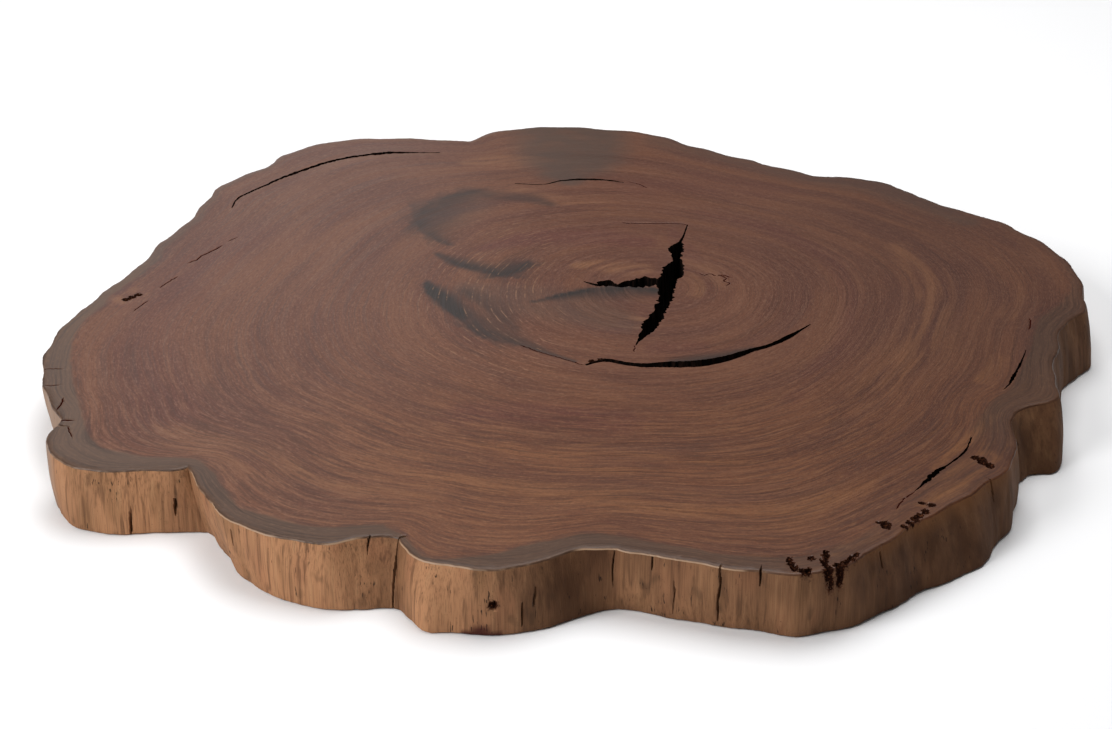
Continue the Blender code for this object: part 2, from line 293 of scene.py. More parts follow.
# Fine cracks in the polish: half width, depth, then the points that they go through.
HAIRLINES = (
    (1.6, 1.2, ((39, 186), (20, 190), (-30, 190), (-46, 193))),
    (0.9, 0.6, ((-534, 147), (-545, 133))),
    (1.3, 1.0, ((-551, 121), (-560, 107), (-573, 89), (-579, 76), (-588, 68))),
    (1.0, 0.7, ((-595, 29), (-604, 14), (-613, -5))),
    (1.0, 0.7, ((-622, -40), (-636, -70))),
    (1.0, 0.7, ((-97, -212), (-125, -193), (-149, -178), (-172, -160))),
    (1.2, 0.8, ((46, 38), (53, 33), (60, 37), (67, 31), (76, 33), (85, 26))),
    (1.2, 0.8, ((70, 33), (79, 24), (76, 15), (83, 9), (77, 2))),
    (1.2, 0.8, ((-37, -160), (-40, -178))),
    (1.0, 0.7, ((-722, -222), (-710, -221), (-694, -221))),
    (1.2, 0.8, ((-709, -262), (-700, -263), (-691, -261))),
    (1.4, 1.0, ((-684, -322), (-682, -308), (-682, -291))),
    (2.0, 1.4, ((-684, -355), (-674, -345), (-661, -346))),
    (1.0, 0.7, ((-667, -357), (-662, -371), (-657, -385))),
    (1.0, 0.7, ((-34, 326), (-21, 319), (-9, 305))),
    (1.2, 0.9, ((434, -88), (432, -104), (428, -120))),
    (1.2, 0.8, ((246, -503), (232, -520), (222, -540))),
)

# How a fine crack wanders aside: how far, where in the noise and over what length.
HAIR_WANDER = ((1.1, 0, 5), (0.5, 9, 2.4))

# The rows of points along a fine crack, in half widths from its middle.
HAIR_ROWS = (-2.6, -1.05, 0, 1.05, 2.6)

# A fine crack's depth fades at its ends by a smooth step: the step's length, and the share of it that lies
# past the end. No point further than the margin from the crack's box is looked at.
HAIR_FADE = 12
HAIR_END = 0.3
HAIR_MARGIN = 4

# The wavy line where the red heartwood ends, from the left round the front to the right.
HEARTWOOD_EDGE = (
    (-690, -107), (-691, -173), (-674, -249), (-654, -318), (-633, -388), (-620, -405), (-567, -426),
    (-526, -427), (-510, -431), (-500, -444), (-486, -472), (-471, -504), (-455, -533), (-439, -543),
    (-411, -558), (-375, -572), (-341, -572), (-308, -567), (-282, -590), (-263, -628), (-247, -635),
    (-227, -634), (-206, -630), (-186, -624), (-166, -612), (-146, -602), (-126, -594), (-106, -588),
    (-85, -585), (-65, -589), (-45, -597), (-5, -611), (35, -625), (75, -632), (115, -629), (136, -622),
    (168, -602), (191, -576), (216, -542), (240, -513), (279, -453), (315, -409), (325, -356),
    (349, -305), (381, -261), (407, -199), (429, -120), (441, -88), (478, -39), (493, -10),
)

# How wide the sapwood is where that line can't be seen, from the right round the back to the left.
HIDDEN_SAPWOOD = ((4, 12), (60, 8), (90, 9), (140, 9), (184, 20))

# The bearings where that part starts and ends, and over how many degrees it blends in.
HIDDEN_FROM = 2
HIDDEN_TO = 186
HIDDEN_BLEND = 6


def polar(bearing, radius):
    """The plan point at a bearing in degrees and a radius from the pith."""
    angle = math.radians(bearing)
    return radius * math.cos(angle), radius * math.sin(angle)


def curve_through(rows, step):
    """Rows read every step or so along a smooth curve through the given ones, without the last."""
    first = [2 * a - b for a, b in zip(rows[0], rows[1])]
    last = [2 * a - b for a, b in zip(rows[-1], rows[-2])]
    padded = [first, *rows, last]
    found = []
    for before, start, end, after in zip(padded, padded[1:], padded[2:], padded[3:]):
        count = max(1, round(math.dist(start[:2], end[:2]) / step))
        for index in range(count):
            t = index / count
            found.append([
                0.5 * (2 * b + (c - a) * t + (2 * a - 5 * b + 4 * c - d) * t**2
                       + (3 * b - a - 3 * c + d) * t**3)
                for a, b, c, d in zip(before, start, end, after)
            ])
    return found


def rough(x, y, z, across, along):
    """Smooth noise from -1 to 1 at each point, its lumps across wide in plan and along tall."""
    return np.array([
        noise.noise(Vector((a / across, b / across, c / along))) for a, b, c in np.broadcast(x, y, z)
    ])


def soft_step(value):
    """0 below 0, 1 above 1 and smooth between."""
    share = np.clip(value, 0, 1)
    return share * share * (3 - 2 * share)


def bearing_of(points):
    """Each plan point's bearing from the pith, in degrees."""
    return np.degrees(np.arctan2(points[:, 1], points[:, 0]))


def distance_to_path(points, path):
    """Each plan point's distance from a path of straight runs, and the nearest point on it."""
    best = np.full(len(points), np.inf)
    nearest = np.zeros((len(points), 2))
    for start, end in zip(path, path[1:]):
        run = end - start
        share = np.clip((points - start) @ run / max(run @ run, 1e-9), 0, 1)
        spot = start + share[:, None] * run
        gap = np.hypot(*(points - spot).T)
        closer = gap < best
        best[closer] = gap[closer]
        nearest[closer] = spot[closer]
    return best, nearest


def inside(points, polygon):
    """Which plan points lie inside a polygon."""
    found = np.zeros(len(points), bool)
    x, y = points.T
    for (x0, y0), (x1, y1) in zip(polygon, np.roll(polygon, -1, axis=0)):
        if y0 == y1:
            continue
        crosses = ((y0 > y) != (y1 > y)) & (x < (x1 - x0) * (y - y0) / (y1 - y0) + x0)
        found ^= crosses
    return found


class Wall:
    """The slab's wall: columns of points all the way round, from the foot up to the top face."""

    LEVELS = (
        (0.0, FOOT_BEVEL),
        *((height, 0.0) for height in WALL_HEIGHTS),
        (THICKNESS - RIM_ROUND, 0.0),
        (THICKNESS - RIM_ROUND * 0.55, RIM_ROUND * 0.15),
        (THICKNESS - RIM_ROUND * 0.2, RIM_ROUND * 0.45),
        (THICKNESS, RIM_ROUND),
    )

    def __init__(self):
        rows = np.array([row for run in OUTLINE for row in curve_through(run, FINE_STEP)])
        along = np.roll(rows[:, :2], -3, axis=0) - np.roll(rows[:, :2], 3, axis=0)
        normals = np.stack([along[:, 1], -along[:, 0]], 1)
        normals /= np.hypot(*normals.T)[:, None]
        share = np.arange(len(rows)) / len(rows)
        kept = self.near_a_check(rows) | (np.arange(len(rows)) % COLUMN_EVERY == 0)
        self.rows = rows[kept]
        self.normals = normals[kept]
        self.share = share[kept]
        self.rings = [self.ring(height, inset) for height, inset in self.LEVELS]

    @staticmethod
    def near_a_check(rows):
        """Which rows are close enough to a check to be kept, at the foot or at the rim."""
        near = np.zeros(len(rows), bool)
        for points in (rows[:, :2], rows[:, 2:]):
            radius = np.hypot(*points.T)
            for bearing, half_width, *_ in WALL_CHECKS:
                turn = (bearing_of(points) - bearing + 180) % 360 - 180
                near |= np.abs(np.radians(turn)) * radius < half_width + CHECK_REACH
        return near

    def ring(self, height, inset):
        """The wall's points at one height."""
        up = height / THICKNESS
        flat = self.rows[:, 2:] * (1 - up) + self.rows[:, :2] * up
        proud = np.full(len(flat), BELLY * 4 * up * (1 - up) - inset)
        x, y = flat.T
        proud -= inset * RIM_WEAR * rough(x, y, 0, RIM_LUMP, 1)
        for count, size, phase in FLUTES:
            proud += size * np.sin(2 * np.pi * count * self.share + phase)
        for size, across, along in WALL_LUMPS:
            proud += size * rough(x, y, height, across, along)
        proud -= self.check_depth(flat, height)
        placed = flat + self.normals * proud[:, None]
        return np.column_stack([placed, np.full(len(flat), float(height))])

    @staticmethod
    def check_depth(flat, height):
        """How far the checks cut into the wall at each point of a ring."""
        radius = np.hypot(*flat.T)
        deepest = np.zeros(len(flat))
        for bearing, half_width, depth, low, high in WALL_CHECKS:
            rise = (2 * height - low - high) / (high - low)
            open_share = math.sqrt(max(0.0, 1 - rise * rise))
            wander = sum(size * noise.noise(Vector((bearing, height / tall, place)))
                         for size, tall, place in CHECK_WANDER)
            turn = (bearing_of(flat) - bearing + 180) % 360 - 180
            aside = np.abs(np.radians(turn) * radius - wander)
            ends, middle = CHECK_WIDTHS
            reach = half_width * (ends + middle * open_share)
            cut = depth * open_share * np.clip(1 - aside / reach, 0, 1) ** CHECK_ROUNDING
            deepest = np.maximum(deepest, cut)
        return deepest


class Growth:
    """The growth rings: round at the heart, and more and more like the lobed outline further out."""

    HARMONICS = 70
    BEARINGS = 720
    LEVELS = 121
    FADE = 0.34
    OUTER = 600.0

    # How far out the rings' table goes, in shares of the rim's radius, and how many of its last steps a
    # point beyond it may be away.
    TABLE_REACH = 1.06
    LAST_STEP = 1.5

    def __init__(self, rim):
        grid = np.linspace(-180, 180, self.BEARINGS, endpoint=False)
        order = np.argsort(bearing_of(rim))
        radius = np.interp(grid, bearing_of(rim)[order], np.hypot(*rim.T)[order], period=360)
        self.rim_radius = radius
        waves = np.fft.rfft(radius)
        waves[self.HARMONICS:] = 0
        number = np.arange(len(waves))
        shares = np.linspace(0, self.TABLE_REACH, self.LEVELS)
        fades = shares[:, None] ** (self.FADE * np.maximum(number - 0.4, 0))
        self.table = shares[:, None] * np.fft.irfft(waves * fades, self.BEARINGS)
        self.shares = shares

    def at(self, points):
        """The ring that each plan point lies on, from 0 at the pith to 600 at the rim."""
        place = (bearing_of(points) + 180) / 360 * self.BEARINGS
        low = np.floor(place).astype(int) % self.BEARINGS
        part = place - np.floor(place)
        radius = np.hypot(*points.T)
        columns = self.table[:, low] * (1 - part) + self.table[:, (low + 1) % self.BEARINGS] * part
        above = np.clip((columns < radius).sum(axis=0), 1, self.LEVELS - 1)
        index = np.arange(len(points))
        start = columns[above - 1, index]
        end = columns[above, index]
        share = np.clip((radius - start) / np.maximum(end - start, 1e-6), 0, self.LAST_STEP)
        return (self.shares[above - 1] + share * (self.shares[1] - self.shares[0])) * self.OUTER

    def sapwood(self, points):
        """How far outside the heartwood each plan point is. It is below 0 in the heartwood."""
        edge = np.array(HEARTWOOD_EDGE, float)
        hidden = np.array(HIDDEN_SAPWOOD, float)
        grid = np.linspace(-180, 180, self.BEARINGS, endpoint=False)
        rim = np.interp(hidden[:, 0], grid, self.rim_radius, period=360)
        bearings = np.concatenate([bearing_of(edge), hidden[:, 0]])
        radii = np.concatenate([np.hypot(*edge.T), rim - hidden[:, 1]])
        seen = np.interp(bearing_of(points), bearings, radii, period=360)
        round_back = np.interp(bearing_of(points), grid, self.rim_radius, period=360)
        width = np.interp(bearing_of(points) % 360, hidden[:, 0], hidden[:, 1])
        turn = bearing_of(points) % 360
        unseen = soft_step((turn - HIDDEN_FROM) / HIDDEN_BLEND)
        unseen *= soft_step((HIDDEN_TO - turn) / HIDDEN_BLEND)
        boundary = seen * (1 - unseen) + (round_back - width) * unseen
        return np.hypot(*points.T) - boundary


def ribbon(stations, seed, raggedness):
    """A crack's ragged outline in plan: down one side of its stations and back up the other."""
    rows = np.array([*curve_through(stations, CRACK_STEP), stations[-1]], float)
    centres = rows[:, :2]
    along = np.gradient(centres, axis=0)
    across = np.stack([along[:, 1], -along[:, 0]], 1) / np.hypot(*along.T)[:, None]
    sides = []
    for sign in (1, -1):
        x, y = centres.T
        lumps = sum(size * rough(x, y, seed + place * sign, wide, 1) for size, place, wide in CRACK_LUMPS)
        size, place, wide = CRACK_TEETH
        teeth = size * rough(x, y, seed + place * sign, wide, 1) * np.minimum(rows[:, 2] / TEETH_FROM, 1)
        half = rows[:, 2] * (1 + raggedness * lumps) + raggedness * teeth
        half = np.maximum(half, rows[:, 2] * LEAST_WIDTH)
        sides.append(centres + sign * across * half[:, None])
    return np.concatenate([sides[0], sides[1][::-1]])


def crack_centres(stations):
    """The line down the middle of a crack."""
    return np.array([row[:2] for row in (*curve_through(stations, CRACK_STEP), stations[-1])])


def ring_stations(stations):
    """A shake's stations, from bearings and radii to plan points."""
    return [(*polar(bearing, radius), half) for bearing, radius, half in stations]


def honeycomb(spacing, low, high):
    """A grid of plan points over a box, each row shifted by half a step and all a little uneven."""
    rise = spacing * math.sqrt(3) / 2
    rows, columns = (math.ceil((high[i] - low[i]) / step) for i, step in ((1, rise), (0, spacing)))
    j, i = np.mgrid[0:rows, 0:columns]
    points = np.stack([low[0] + (i + 0.5 * (j % 2)) * spacing, low[1] + j * rise], -1).reshape(-1, 2)
    draw = np.random.default_rng(GRID_SEED)
    return points + draw.uniform(-GRID_UNEVENNESS, GRID_UNEVENNESS, points.shape) * spacing


def clear_of(points, edges, clearance):
    """The plan points that are at least the clearance from every one of the edges' points."""
    kept = np.ones(len(points), bool)
    for start in range(0, len(edges), 400):
        part = edges[start:start + 400]
        low = part.min(0) - clearance
        high = part.max(0) + clearance
        near = np.flatnonzero(kept & (points > low).all(1) & (points < high).all(1))
        if len(near):
            gaps = np.hypot(points[near, None, 0] - part[:, 0], points[near, None, 1] - part[:, 1])
            kept[near[gaps.min(1) < clearance]] = False
    return points[kept]


def triangulate(outer, holes, extra):
    """Triangles over a face: its points, the triangles of the wood and those of each hole."""
    loops = [outer, *holes]
    faces = []
    start = 0
    for loop in loops:
        faces.append(list(range(start, start + len(loop))))
        start += len(loop)
    points = np.concatenate([*loops, extra])
    found = delaunay_2d_cdt([Vector(point) for point in points], [], faces, 1, 1e-5, True)
    places = np.array([tuple(place) for place in found[0]])
    origins = found[3]
    wood = []
    in_holes = [[] for _ in holes]
    for triangle, owners in zip(found[2], found[5]):
        if 0 not in owners:
            continue
        if len(owners) == 1:
            wood.append(triangle)
        for owner in owners:
            if owner:
                in_holes[owner - 1].append(triangle)
    return places, origins, wood, in_holes


def boundary_loops(triangles, skip):
    """The loops of points round the holes in the wood, each with the wood on its left."""
    follows = {}
    edges = {(a, b) for tri in triangles for a, b in zip(tri, [*tri[1:], tri[0]])}
    for a, b in edges:
        if (b, a) not in edges and not (a in skip and b in skip):
            follows[a] = b
    loops = []
    while follows:
        start, point = follows.popitem()
        loop = [start]
        while point != start:
            loop.append(point)
            point = follows.pop(point)
        loops.append(loop)
    return loops


class Mesh:
    """The slice's points and faces as they are gathered, each face with its finish and its map."""

    def __init__(self):
        self.points = []
        self.faces = []
        self.finishes = []
        self.maps = []

    def add_points(self, points):
        """Adds points and gives their numbers."""
        start = len(self.points)
        self.points.extend(np.asarray(points, float).tolist())
        return np.arange(start, len(self.points))

    def add_face(self, corners, finish, spots):
        """Adds a face, with the place of each corner in the map."""
        self.faces.append([int(corner) for corner in corners])
        self.finishes.append(finish)
        self.maps.extend(spots)


# The finishes' places in the slice's list of materials.
TOP, WALL, UNDER, CRACK = range(4)

# The map's layout, in shares of its side: the top face, the wall's strips, the underside's quarters
# and the cracks' strips.
MAP_EDGE = 0.004
TOP_MAP = (0.004, 0.164, 0.83)
WALL_STRIPS = 4
WALL_MAP_HEIGHT = 0.036
WALL_MAP_PITCH = 0.039
UNDER_MAP = (0.848, 0.168, 0.146)
UNDER_MAP_PITCH = 0.15
CRACK_MAP = (0.848, 0.775, 0.146)
CRACK_MAP_PITCH = 0.03
CRACK_MAP_HEIGHT = 0.026


def face_map(points, corner, width):
    """The top face's places in the map."""
    left, low, size = TOP_MAP
    return [(left + (x - corner[0]) / width * size, low + (y - corner[1]) / width * size)
            for x, y in points]


def under_map(points, corner, width):
    """The underside's places in the map: a quarter of the face in each of four squares."""
    left, low, size = UNDER_MAP
    middle = np.mean(points, axis=0)
    right = int(middle[0] > corner[0] + width / 2)
    back = int(middle[1] > corner[1] + width / 2)
    start = (corner[0] + right * width / 2, corner[1] + back * width / 2)
    low += (right + 2 * back) * UNDER_MAP_PITCH
    return [(left + (x - start[0]) / (width / 2) * size, low + (y - start[1]) / (width / 2) * size)
            for x, y in points]


def add_wall(mesh, wall):
    """The wall's faces. It gives the numbers of the foot's and the rim's points."""
    rings = [mesh.add_points(ring) for ring in wall.rings]
    count = len(rings[0])
    per_strip = math.ceil(count / WALL_STRIPS)
    top_ring = wall.LEVELS[-1][0]
    for row, (low, high) in enumerate(zip(rings, rings[1:])):
        finish = WALL if wall.LEVELS[row][0] < THICKNESS - RIM_ROUND else TOP
        heights = [wall.LEVELS[row][0] / top_ring, wall.LEVELS[row + 1][0] / top_ring]
        for index in range(count):
            after = (index + 1) % count
            strip, place = divmod(index, per_strip)
            base = MAP_EDGE + strip * WALL_MAP_PITCH
            start, end = [MAP_EDGE + (1 - 2 * MAP_EDGE) * (place + step) / per_strip for step in (0, 1)]
            foot, head = [base + share * WALL_MAP_HEIGHT for share in heights]
            corners = (low[index], low[after], high[after], high[index])
            spots = [(start, foot), (end, foot), (end, head), (start, head)]
            mesh.add_face(corners, finish, spots)
    return rings[0], rings[-1]


def place_points(mesh, places, origins, fixed, height):
    """Numbers for a triangulated face's points: the fixed ones are there already."""
    numbers = np.full(len(places), -1)
    for index, sources in enumerate(origins):
        known = [fixed[source] for source in sources if source in fixed]
        if known:
            numbers[index] = known[0]
    new = np.flatnonzero(numbers < 0)
    numbers[new] = mesh.add_points(np.column_stack([places[new], np.full(len(new), float(height))]))
    return numbers


def crack_ring(loop, paths, down, depth, taper):
    """A crack's outline at one depth: it narrows towards its middle line and is rough."""
    spots = np.concatenate([distance_to_path(loop, path)[1][None] for path in paths])
    gaps = np.hypot(*(loop[None] - spots).transpose(2, 0, 1))
    nearest = spots[gaps.argmin(0), np.arange(len(loop))]
    share = 1 - (1 - taper) * down / depth
    x, y = loop.T
    uneven = CRACK_ROUGHNESS * rough(x, y, down, *CRACK_WALL_LUMP) * min(1.0, down / ROUGH_FROM)
    return nearest + (loop - nearest) * (share * (1 + uneven))[:, None]


def add_crack(mesh, loop, numbers, places, paths, depth, taper, strip):
    """A crack's walls, from its edge in the top face down. It gives its last ring and its numbers."""
    outline = places[loop]
    ring = [numbers[index] for index in loop]
    last = outline
    left, low, size = CRACK_MAP
    base = low + strip * CRACK_MAP_PITCH
    above = 0.0
    for level in CRACK_LEVELS:
        down = depth * level
        last = crack_ring(outline, paths, down, depth, taper)
        fresh = mesh.add_points(np.column_stack([last, np.full(len(last), THICKNESS - down)]))
        head, foot = [base + CRACK_MAP_HEIGHT * (1 - spot / depth) for spot in (above, down)]
        for index in range(len(loop)):
            after = (index + 1) % len(loop)
            start, end = [left + size * (index + step) / len(loop) for step in (0, 1)]
            corners = (ring[index], fresh[index], fresh[after], ring[after])
            spots = [(start, head), (start, foot), (end, foot), (end, head)]
            mesh.add_face(corners, CRACK, spots)
        ring = list(fresh)
        above = down
    return last, ring


def near_pits(points, reach):
    """Which plan points are close to a pit."""
    near = np.zeros(len(points), bool)
    for x, y, _, half_x, half_y, _ in PITS:
        offset = (points - (x, y)) / (half_x + reach, half_y + reach)
        near |= np.hypot(*offset.T) < 1
    return near


def top_extra_points(rim, outlines):
    """The top face's inner points: an even grid, closer together round pits and fine cracks."""
    low = rim.min(0)
    high = rim.max(0)
    points = honeycomb(TOP_SPACING, low, high)
    points = clear_of(points, np.concatenate([rim, *outlines]), TOP_SPACING * EDGE_CLEARANCE)
    points = points[~near_pits(points, PIT_MARGIN)]
    fine = []
    for x, y, drop, half_x, half_y, _ in PITS:
        if drop > WALL_HOLE_FROM:
            continue
        reach = np.array([half_x + PIT_GRID_MARGIN, half_y + PIT_GRID_MARGIN])
        fine.append(honeycomb(PIT_SPACING, np.array([x, y]) - reach, np.array([x, y]) + reach))
    for half_width, _, path in HAIRLINES:
        path = np.array(path, float)
        fine.append(np.concatenate(hairline_rows(path, half_width)))
    for patch in fine:
        patch = clear_of(patch, np.concatenate([rim, *outlines]), PIT_SPACING * EDGE_CLEARANCE)
        kept = clear_of(points, patch, HAIR_SPACING * 0.9)
        points = np.concatenate([kept, clear_of(patch, points, 0.5)])
    for outline in outlines:
        points = points[~inside(points, outline)]
    return points


def hairline_line(path):
    """The wandering line of a fine crack, and the direction across it at each point."""
    rows = np.array([*curve_through(path, HAIR_SPACING), path[-1]], float)
    along = np.gradient(rows, axis=0)
    across = np.stack([along[:, 1], -along[:, 0]], 1) / np.hypot(*along.T)[:, None]
    wander = sum(size * rough(*rows.T, place, wide, 1) for size, place, wide in HAIR_WANDER)
    return rows + across * wander[:, None], across


def hairline_rows(path, half_width):
    """Points down a fine crack and close beside it, so that it stays narrow in the mesh."""
    line, across = hairline_line(path)
    return [line + across * half_width * side for side in HAIR_ROWS]


def wandering(points):
    """The points moved about in plan, which makes whatever is worked out from them ragged."""
    x, y, z = points.T
    moves = [rough(x, y, z + shift, PIT_LUMP, PIT_LUMP * 1.6) for shift in (0, 50)]
    return points + PIT_WANDER * np.column_stack([*moves, np.zeros(len(points))])


def sink_pits(points):
    """Moves the points that are inside a pit down or in to its floor."""
    moved = points.copy()
    ragged = wandering(points)
    for x, y, drop, half_x, half_y, half_z in PITS:
        centre = np.array([x, y, THICKNESS - drop])
        halves = np.array([half_x, half_y, half_z])
        offset = (ragged - centre) / halves
        reach = np.sqrt((offset ** 2).sum(1))
        near = np.flatnonzero(reach < 1)
        if not len(near):
            continue
        flat = points[near, 2] > THICKNESS - TOP_SLACK
        plan = np.hypot(offset[near, 0], offset[near, 1])
        floor = centre[2] - PIT_DEPTH * halves[2] * np.sqrt(np.maximum(1 - plan ** 2, 0))
        inward = -moved[near, :2] / np.hypot(*moved[near, :2].T)[:, None]
        depth = (1 - reach[near]) * halves[:2].mean()
        moved[near, 2] = np.where(flat, np.minimum(moved[near, 2], floor), moved[near, 2])
        moved[near, :2] += np.where(flat, 0, 1)[:, None] * inward * depth[:, None] * WALL_PIT_DEPTH
    return moved


def hairline_depths(points):
    """How deep inside a fine crack each plan point is, from 0 to 1, and how far it is cut down."""
    inward = np.zeros(len(points))
    cut = np.zeros(len(points))
    for half_width, depth, path in HAIRLINES:
        line = hairline_line(np.array(path, float))[0]
        past_low = (points > line.min(0) - HAIR_MARGIN).all(1)
        near = np.flatnonzero(past_low & (points < line.max(0) + HAIR_MARGIN).all(1))
        if not len(near):
            continue
        gaps, _ = distance_to_path(points[near], line)
        ends = np.minimum(*(np.hypot(*(points[near] - end).T) for end in (line[0], line[-1])))
        share = np.clip(1 - gaps / half_width, 0, 1) * soft_step(ends / HAIR_FADE + HAIR_END)
        inward[near] = np.maximum(inward[near], share)
        cut[near] = np.maximum(cut[near], share * depth)
    return inward, cut


# A painted patch is a stroke: its strength, its hardness, then its line of points. A point is x and y,
# and how far the patch reaches to the left and to the right of the line there.
STAINS = (
    (1.15, 0.8, ((-236, 298, 30, 7), (-270, 280, 60, 8), (-300, 246, 80, 9), (-312, 208, 88, 9),
                 (-303, 170, 74, 9), (-286, 142, 40, 8), (-266, 122, 12, 6))),
    (0.65, 1.1, ((-250, 292, 30, 14), (-205, 276, 32, 18), (-164, 268, 30, 18), (-136, 250, 12, 12))),
    (1.2, 1.0, ((-279, 94, 10, 6), (-258, 66, 32, 9), (-228, 46, 40, 10), (-196, 32, 44, 11),
                 (-176, 44, 52, 14), (-164, 68, 16, 10))),
    (1.4, 1.2, ((-290, 10, 12, 6), (-284, -18, 34, 8), (-271, -46, 46, 9), (-254, -73, 34, 8),
                (-242, -94, 12, 5))),
    (0.95, 1.1, ((-274, -40, 34, 7), (-238, -102, 66, 9), (-221, -130, 66, 9), (-200, -147, 52, 8),
                 (-178, -154, 30, 6), (-146, -178, 14, 5), (-108, -203, 4, 4))),
    (0.8, 0.9, ((-240, -14, 20, 16), (-217, -50, 36, 22), (-196, -88, 36, 22), (-176, -122, 12, 12))),
    (1.0, 1.2, ((6, -204, 14, 4), (36, -202, 26, 4), (66, -193, 24, 4), (98, -172, 12, 4))),
    (1.3, 1.0, ((-158, -42, 2, 7), (-115, -16, 2, 30), (-74, -2, 2, 50), (-46, 0, 2, 52),
                (-12, -6, 2, 34))),
)
# The grey patches. The last one, along the back right rim, is a painted sheen: grey where the lamps'
# reflection greys the polish.
GREY_WOOD_AND_SHEEN = (
    (1.0, 1.7, ((-110, 332, 26, 26), (-112, 366, 62, 54), (-106, 410, 96, 92), (-104, 450, 108, 102),
                (-104, 530, 116, 100))),
    (0.5, 1.3, ((-236, -6, 30, 30), (-170, -36, 62, 62), (-96, -66, 70, 70), (-50, -100, 40, 40))),
    (0.4, 1.3, ((-262, 212, 50, 50), (-240, 256, 50, 50))),
    (0.55, 1.2, ((20, 474, 50, 50), (100, 420, 44, 44), (190, 356, 44, 44), (290, 316, 44, 44),
                 (352, 250, 34, 34), (400, 196, 26, 26))),
)
GOLDEN_WOOD = (
    (1.25, 1.3, ((-104, 62, 14, 14), (-76, 60, 26, 26), (-48, 50, 28, 28), (-22, 52, 20, 20))),
    (0.7, 1.2, ((32, 70, 20, 20), (50, 44, 34, 34), (56, 10, 34, 34), (44, -22, 20, 20))),
    (1.0, 1.2, ((-66, -110, 12, 12), (-40, -104, 22, 22), (-26, -78, 14, 14))),
    (0.9, 1.0, ((300, 116, 24, 24), (326, 18, 42, 42), (318, -74, 44, 44), (298, -149, 44, 44),
                (260, -221, 40, 40), (216, -290, 34, 34))),
    (0.9, 1.1, ((413, 74, 18, 18), (421, -22, 22, 22), (410, -84, 16, 16))),
    (1.3, 1.6, ((358, -330, 6, 8), (326, -377, 9, 12), (297, -417, 9, 12), (272, -452, 6, 8))),
    (1.0, 1.3, ((383, -195, 14, 14), (352, -249, 14, 14))),
    (0.7, 1.1, ((-240, -470, 26, 26), (-120, -505, 44, 44), (0, -530, 48, 48), (110, -550, 44, 44),
                (190, -490, 30, 30))),
    (0.5, 1.1, ((-330, -430, 30, 30), (-190, -420, 44, 44), (-60, -440, 44, 44), (60, -440, 30, 30))),
    (0.6, 1.1, ((-180, 300, 20, 20), (-110, 258, 24, 24), (-60, 250, 20, 20))),
    (0.9, 1.5, ((-150, 405, 15, 15), (-205, 402, 27, 27), (-250, 392, 15, 15))),
    (1.3, 1.5, ((145, -630, 6, 6), (157, -634, 6, 6))),
    (0.9, 1.5, ((-664, -34, 12, 12), (-640, -50, 12, 12), (-618, -32, 12, 12), (-640, -12, 12, 12))),
    (1.6, 1.9, ((250, -530, 10, 8), (276, -508, 24, 16), (306, -474, 28, 18), (336, -430, 22, 14))),
    (0.7, 1.1, ((-540, -380, 50, 50), (-410, -455, 66, 66), (-270, -490, 50, 50))),
)
RED_WOOD = (
    (0.8, 1.2, ((58, 222, 18, 18), (150, 170, 24, 24), (215, 80, 24, 24), (228, -40, 24, 24),
                (205, -160, 24, 24), (132, -297, 21, 21))),
    (0.9, 1.4, ((-60, -122, 14, 14), (-38, -100, 24, 24), (-26, -78, 14, 14))),
    (1.0, 1.4, ((-14, -168, 22, 22), (34, -166, 24, 24))),
    (1.6, 1.3, ((-222, 112, 14, 14), (-180, 136, 28, 28), (-139, 148, 38, 38), (-69, 146, 40, 40),
                (-20, 132, 30, 30))),
    (1.8, 1.2, ((-230, -330, 40, 40), (-150, -330, 50, 50), (-60, -350, 40, 40))),
    (1.0, 1.4, ((20, 176, 8, 8), (22, 134, 16, 16), (38, 104, 18, 18), (42, 74, 14, 14))),
    (0.8, 1.1, ((-560, -330, 60, 60), (-610, -150, 76, 76), (-590, 20, 76, 76), (-520, 160, 66, 66))),
    (0.7, 1.1, ((-30, 300, 45, 45), (60, 320, 60, 60), (150, 290, 45, 45))),
    (1.0, 1.4, ((-652, -56, 9, 9), (-670, -28, 10, 10), (-650, 2, 9, 9))),
)

# What changes round the slab, by bearing: how golden the bare wall looks, from 0, dark brown, to 1, tan.
# It is the wood's own tone with painted light in it: the walls from the front round to the right, away
# from the light, are painted darker as shade, and the bright sliver near -156 degrees is a painted
# highlight.
WALL_TONES_AND_SHADE = (
    (-180, 0.5), (-162, 0.8), (-156, 1.4), (-152, 1.0), (-150, 0.8), (-145.3, 0.7), (-143.4, 0.74),
    (-141.5, 1.3), (-139.5, 0.62), (-135.5, 0.62), (-131, 0.72), (-127, 0.86), (-122.9, 1.35),
    (-119.4, 0.76), (-117, 0.5), (-115.2, 0.36), (-112, 1.0), (-108.2, 0.64), (-104.3, 0.45),
    (-100.1, 0.15), (-97, 0.26), (-95, 0.46), (-89.6, 0.46), (-84.6, 0.44), (-80.4, 0.38), (-74.6, 0.2),
    (-62, 0.16), (-55, 0.2), (-38, 0.24), (-30, 0.14), (-10, 0.26), (30, 0.4), (90, 0.55), (150, 0.5),
)

# How plain the sapwood's own colour is, from 0, like the heartwood, to 1, then how grey the wood is.
SAPWOOD_SHOWS = (
    (-180, 0.95), (-120, 1.0), (-98, 0.95), (-84, 0.8), (-73, 0.4), (-66, 0.16), (-52, 0.14),
    (-45, 0.6), (-20, 0.85), (-4, 0.6), (10, 0.3), (70, 0.25), (130, 0.3), (165, 0.6),
)
SAPWOOD_GREYNESS = (
    (-180, 1.0), (-150, 1.0), (-134, 0.5), (-110, 0.3), (-80, 0.2), (-50, 0.1), (0, 0.25), (90, 0.5),
    (150, 0.8),
)

# Stretches of the rim where the polish is chipped to pale wood: first and last bearing.
CHIPPED_RIM = ((-138.5, -136), (-133, -125), (-121, -119), (-115.6, -108), (-100, -85))
